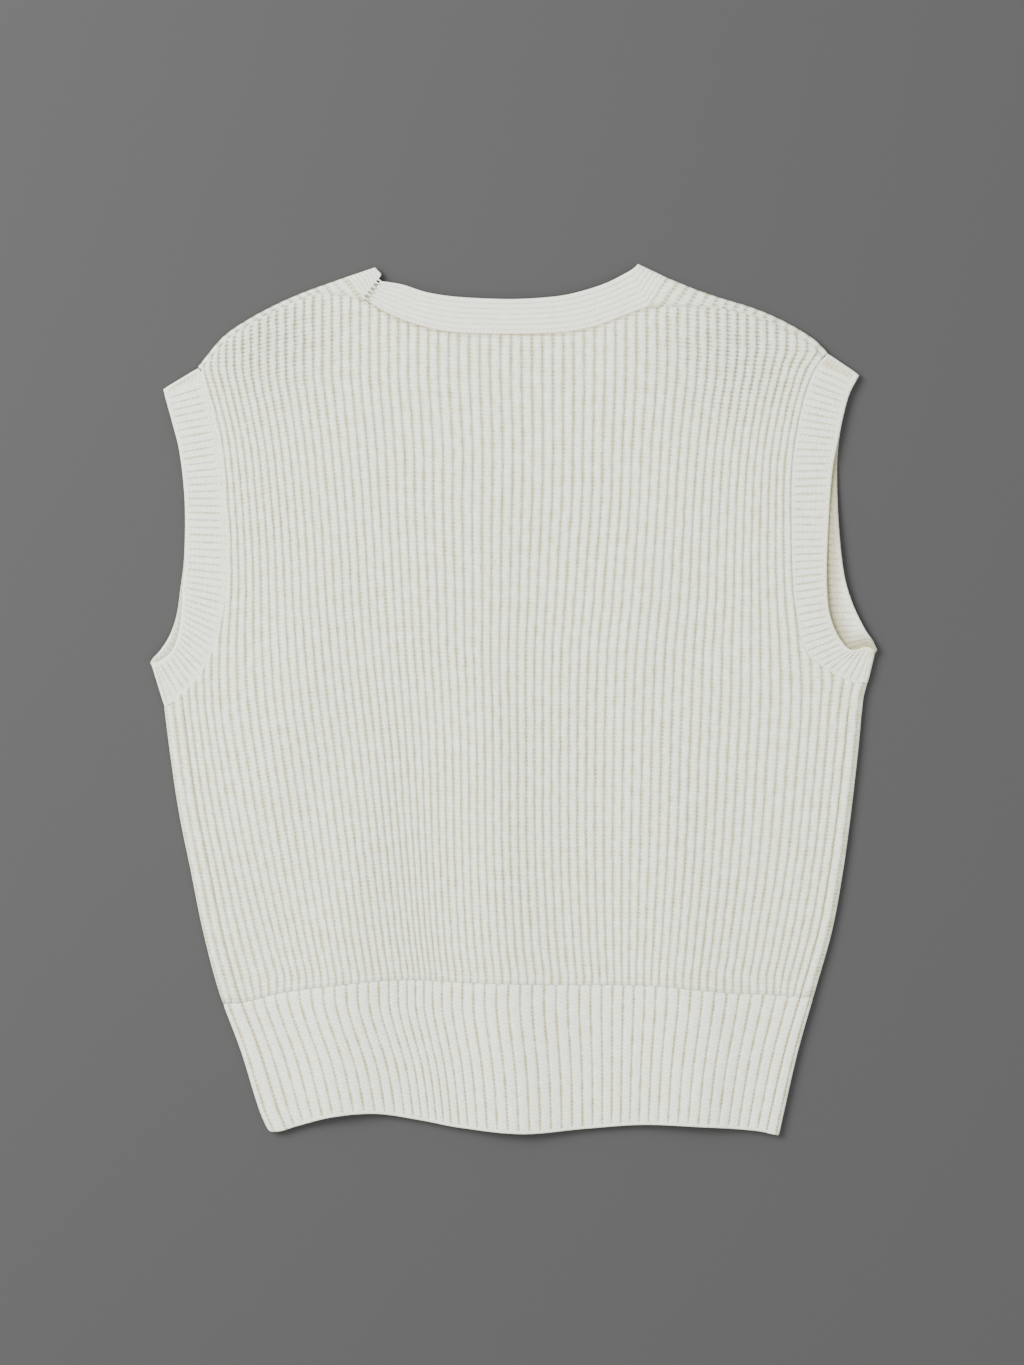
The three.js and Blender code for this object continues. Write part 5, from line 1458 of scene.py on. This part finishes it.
def ladder(left, right):
    """The white stitches that bridge the join of the neck band, with dark gaps between them."""
    parts = np.linspace(0, 1, len(left))
    rungs = []
    for place in LADDER_PLACES:
        ends = [
            np.array([np.interp(place, parts, line[:, k]) for k in range(3)])
            for line in (left, right)
        ]
        middle = (ends[0] + ends[1]) / 2 * MM
        run = ends[1] - ends[0]
        length = np.linalg.norm(run)
        bpy.ops.mesh.primitive_cylinder_add(
            vertices=10, radius=LADDER_WIDTH * MM, depth=(length + LADDER_ENDS) * MM, location=middle
        )
        rung = bpy.context.object
        rung.rotation_euler = (0, math.pi / 2, math.atan2(run[1], run[0]))
        rungs.append(rung)
    bpy.ops.object.select_all(action="DESELECT")
    for rung in rungs:
        rung.select_set(True)
    bpy.context.view_layer.objects.active = rungs[0]
    bpy.ops.object.join()
    bpy.ops.object.transform_apply(location=True, rotation=True, scale=True)
    made = bpy.context.object
    made.name = "join_stitches"
    bpy.ops.object.shade_smooth()
    made.data.materials.append(yarn)
    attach(made, "root")
    bpy.ops.object.select_all(action="DESELECT")


def v_lines():
    """Sections across the hidden V of the neck band, from the right shoulder to the left."""
    u = np.linspace(V_RIBS[0], V_RIBS[2], 150)[1:-1]
    x, y = front_plan(u, np.array([3.0]), front_top_y(u))
    seam = np.stack([x[0], y[0]], -1)[::-1]
    before = np.concatenate([seam[:1], seam[:-1]])
    after = np.concatenate([seam[1:], seam[-1:]])
    run = unit(after - before)
    inwards = np.stack([run[:, 1], -run[:, 0]], -1)
    return list(zip(seam + inwards * BAND_GAP, seam + inwards * NECK_BAND_WIDTH))


# Camera, light and floor
PHOTO_WIDTH = 1024
PHOTO_SCALE = 0.69
CAMERA_HEIGHT = 3.0
CAMERA_OVER = (-1, 11.4)
SENSOR = 36
FLOOR_SIZE = 6
FLOOR_TONE = (0.054, 0.054, 0.054, 1)
ROOM_LIGHT = 1.05
LAMPS = (
    ("window", (-2.1, 1.15, 2.15), 1.7, 198),
    ("fill", (1.8, -0.8, 2.2), 2.2, 16),
)


def stage():
    bpy.ops.mesh.primitive_plane_add(size=FLOOR_SIZE)
    floor = bpy.context.object
    floor.name = "floor"
    paper = bpy.data.materials.new("pale_floor")
    paper.use_nodes = True
    shader = paper.node_tree.nodes["Principled BSDF"]
    shader.inputs["Base Color"].default_value = FLOOR_TONE
    shader.inputs["Roughness"].default_value = 0.9
    floor.data.materials.append(paper)

    lens = bpy.data.cameras.new("camera")
    camera = bpy.data.objects.new("camera", lens)
    bpy.context.scene.collection.objects.link(camera)
    lens.sensor_fit = "HORIZONTAL"
    lens.sensor_width = SENSOR
    lens.lens = SENSOR * CAMERA_HEIGHT / (PHOTO_WIDTH * PHOTO_SCALE * MM)
    camera.location = (CAMERA_OVER[0] * MM, CAMERA_OVER[1] * MM, CAMERA_HEIGHT)
    bpy.context.scene.camera = camera

    for name, place, size, power in LAMPS:
        light = bpy.data.lights.new(name, "AREA")
        light.size = size
        light.energy = power
        lamp = bpy.data.objects.new(name, light)
        bpy.context.scene.collection.objects.link(lamp)
        lamp.location = place
        direction = np.array(place) / np.linalg.norm(place)
        heading = math.atan2(direction[1], direction[0]) + math.pi / 2
        lamp.rotation_euler = (math.acos(direction[2]), 0, heading)
    world = bpy.data.worlds.new("room")
    world.use_nodes = True
    world.node_tree.nodes["Background"].inputs["Color"].default_value = (1, 1, 1, 1)
    world.node_tree.nodes["Background"].inputs["Strength"].default_value = ROOM_LIGHT
    bpy.context.scene.world = world


stage()
pieces = [
    (back_panel(), (0.48, 0.5), 0.21),
    (front_panel(), (0.5, 0.5), 0.2),
    (back_hem(), (0.4, 0.1), 0.038),
    (front_hem(), (0.43, 0.1), 0.041),
    (neck_band(), (0.66, 0.025), 0.0154),
    (armhole_band(LEFT), (0.5, 0.027), 0.0132),
    (armhole_band(RIGHT), (0.5, 0.026), 0.013),
]
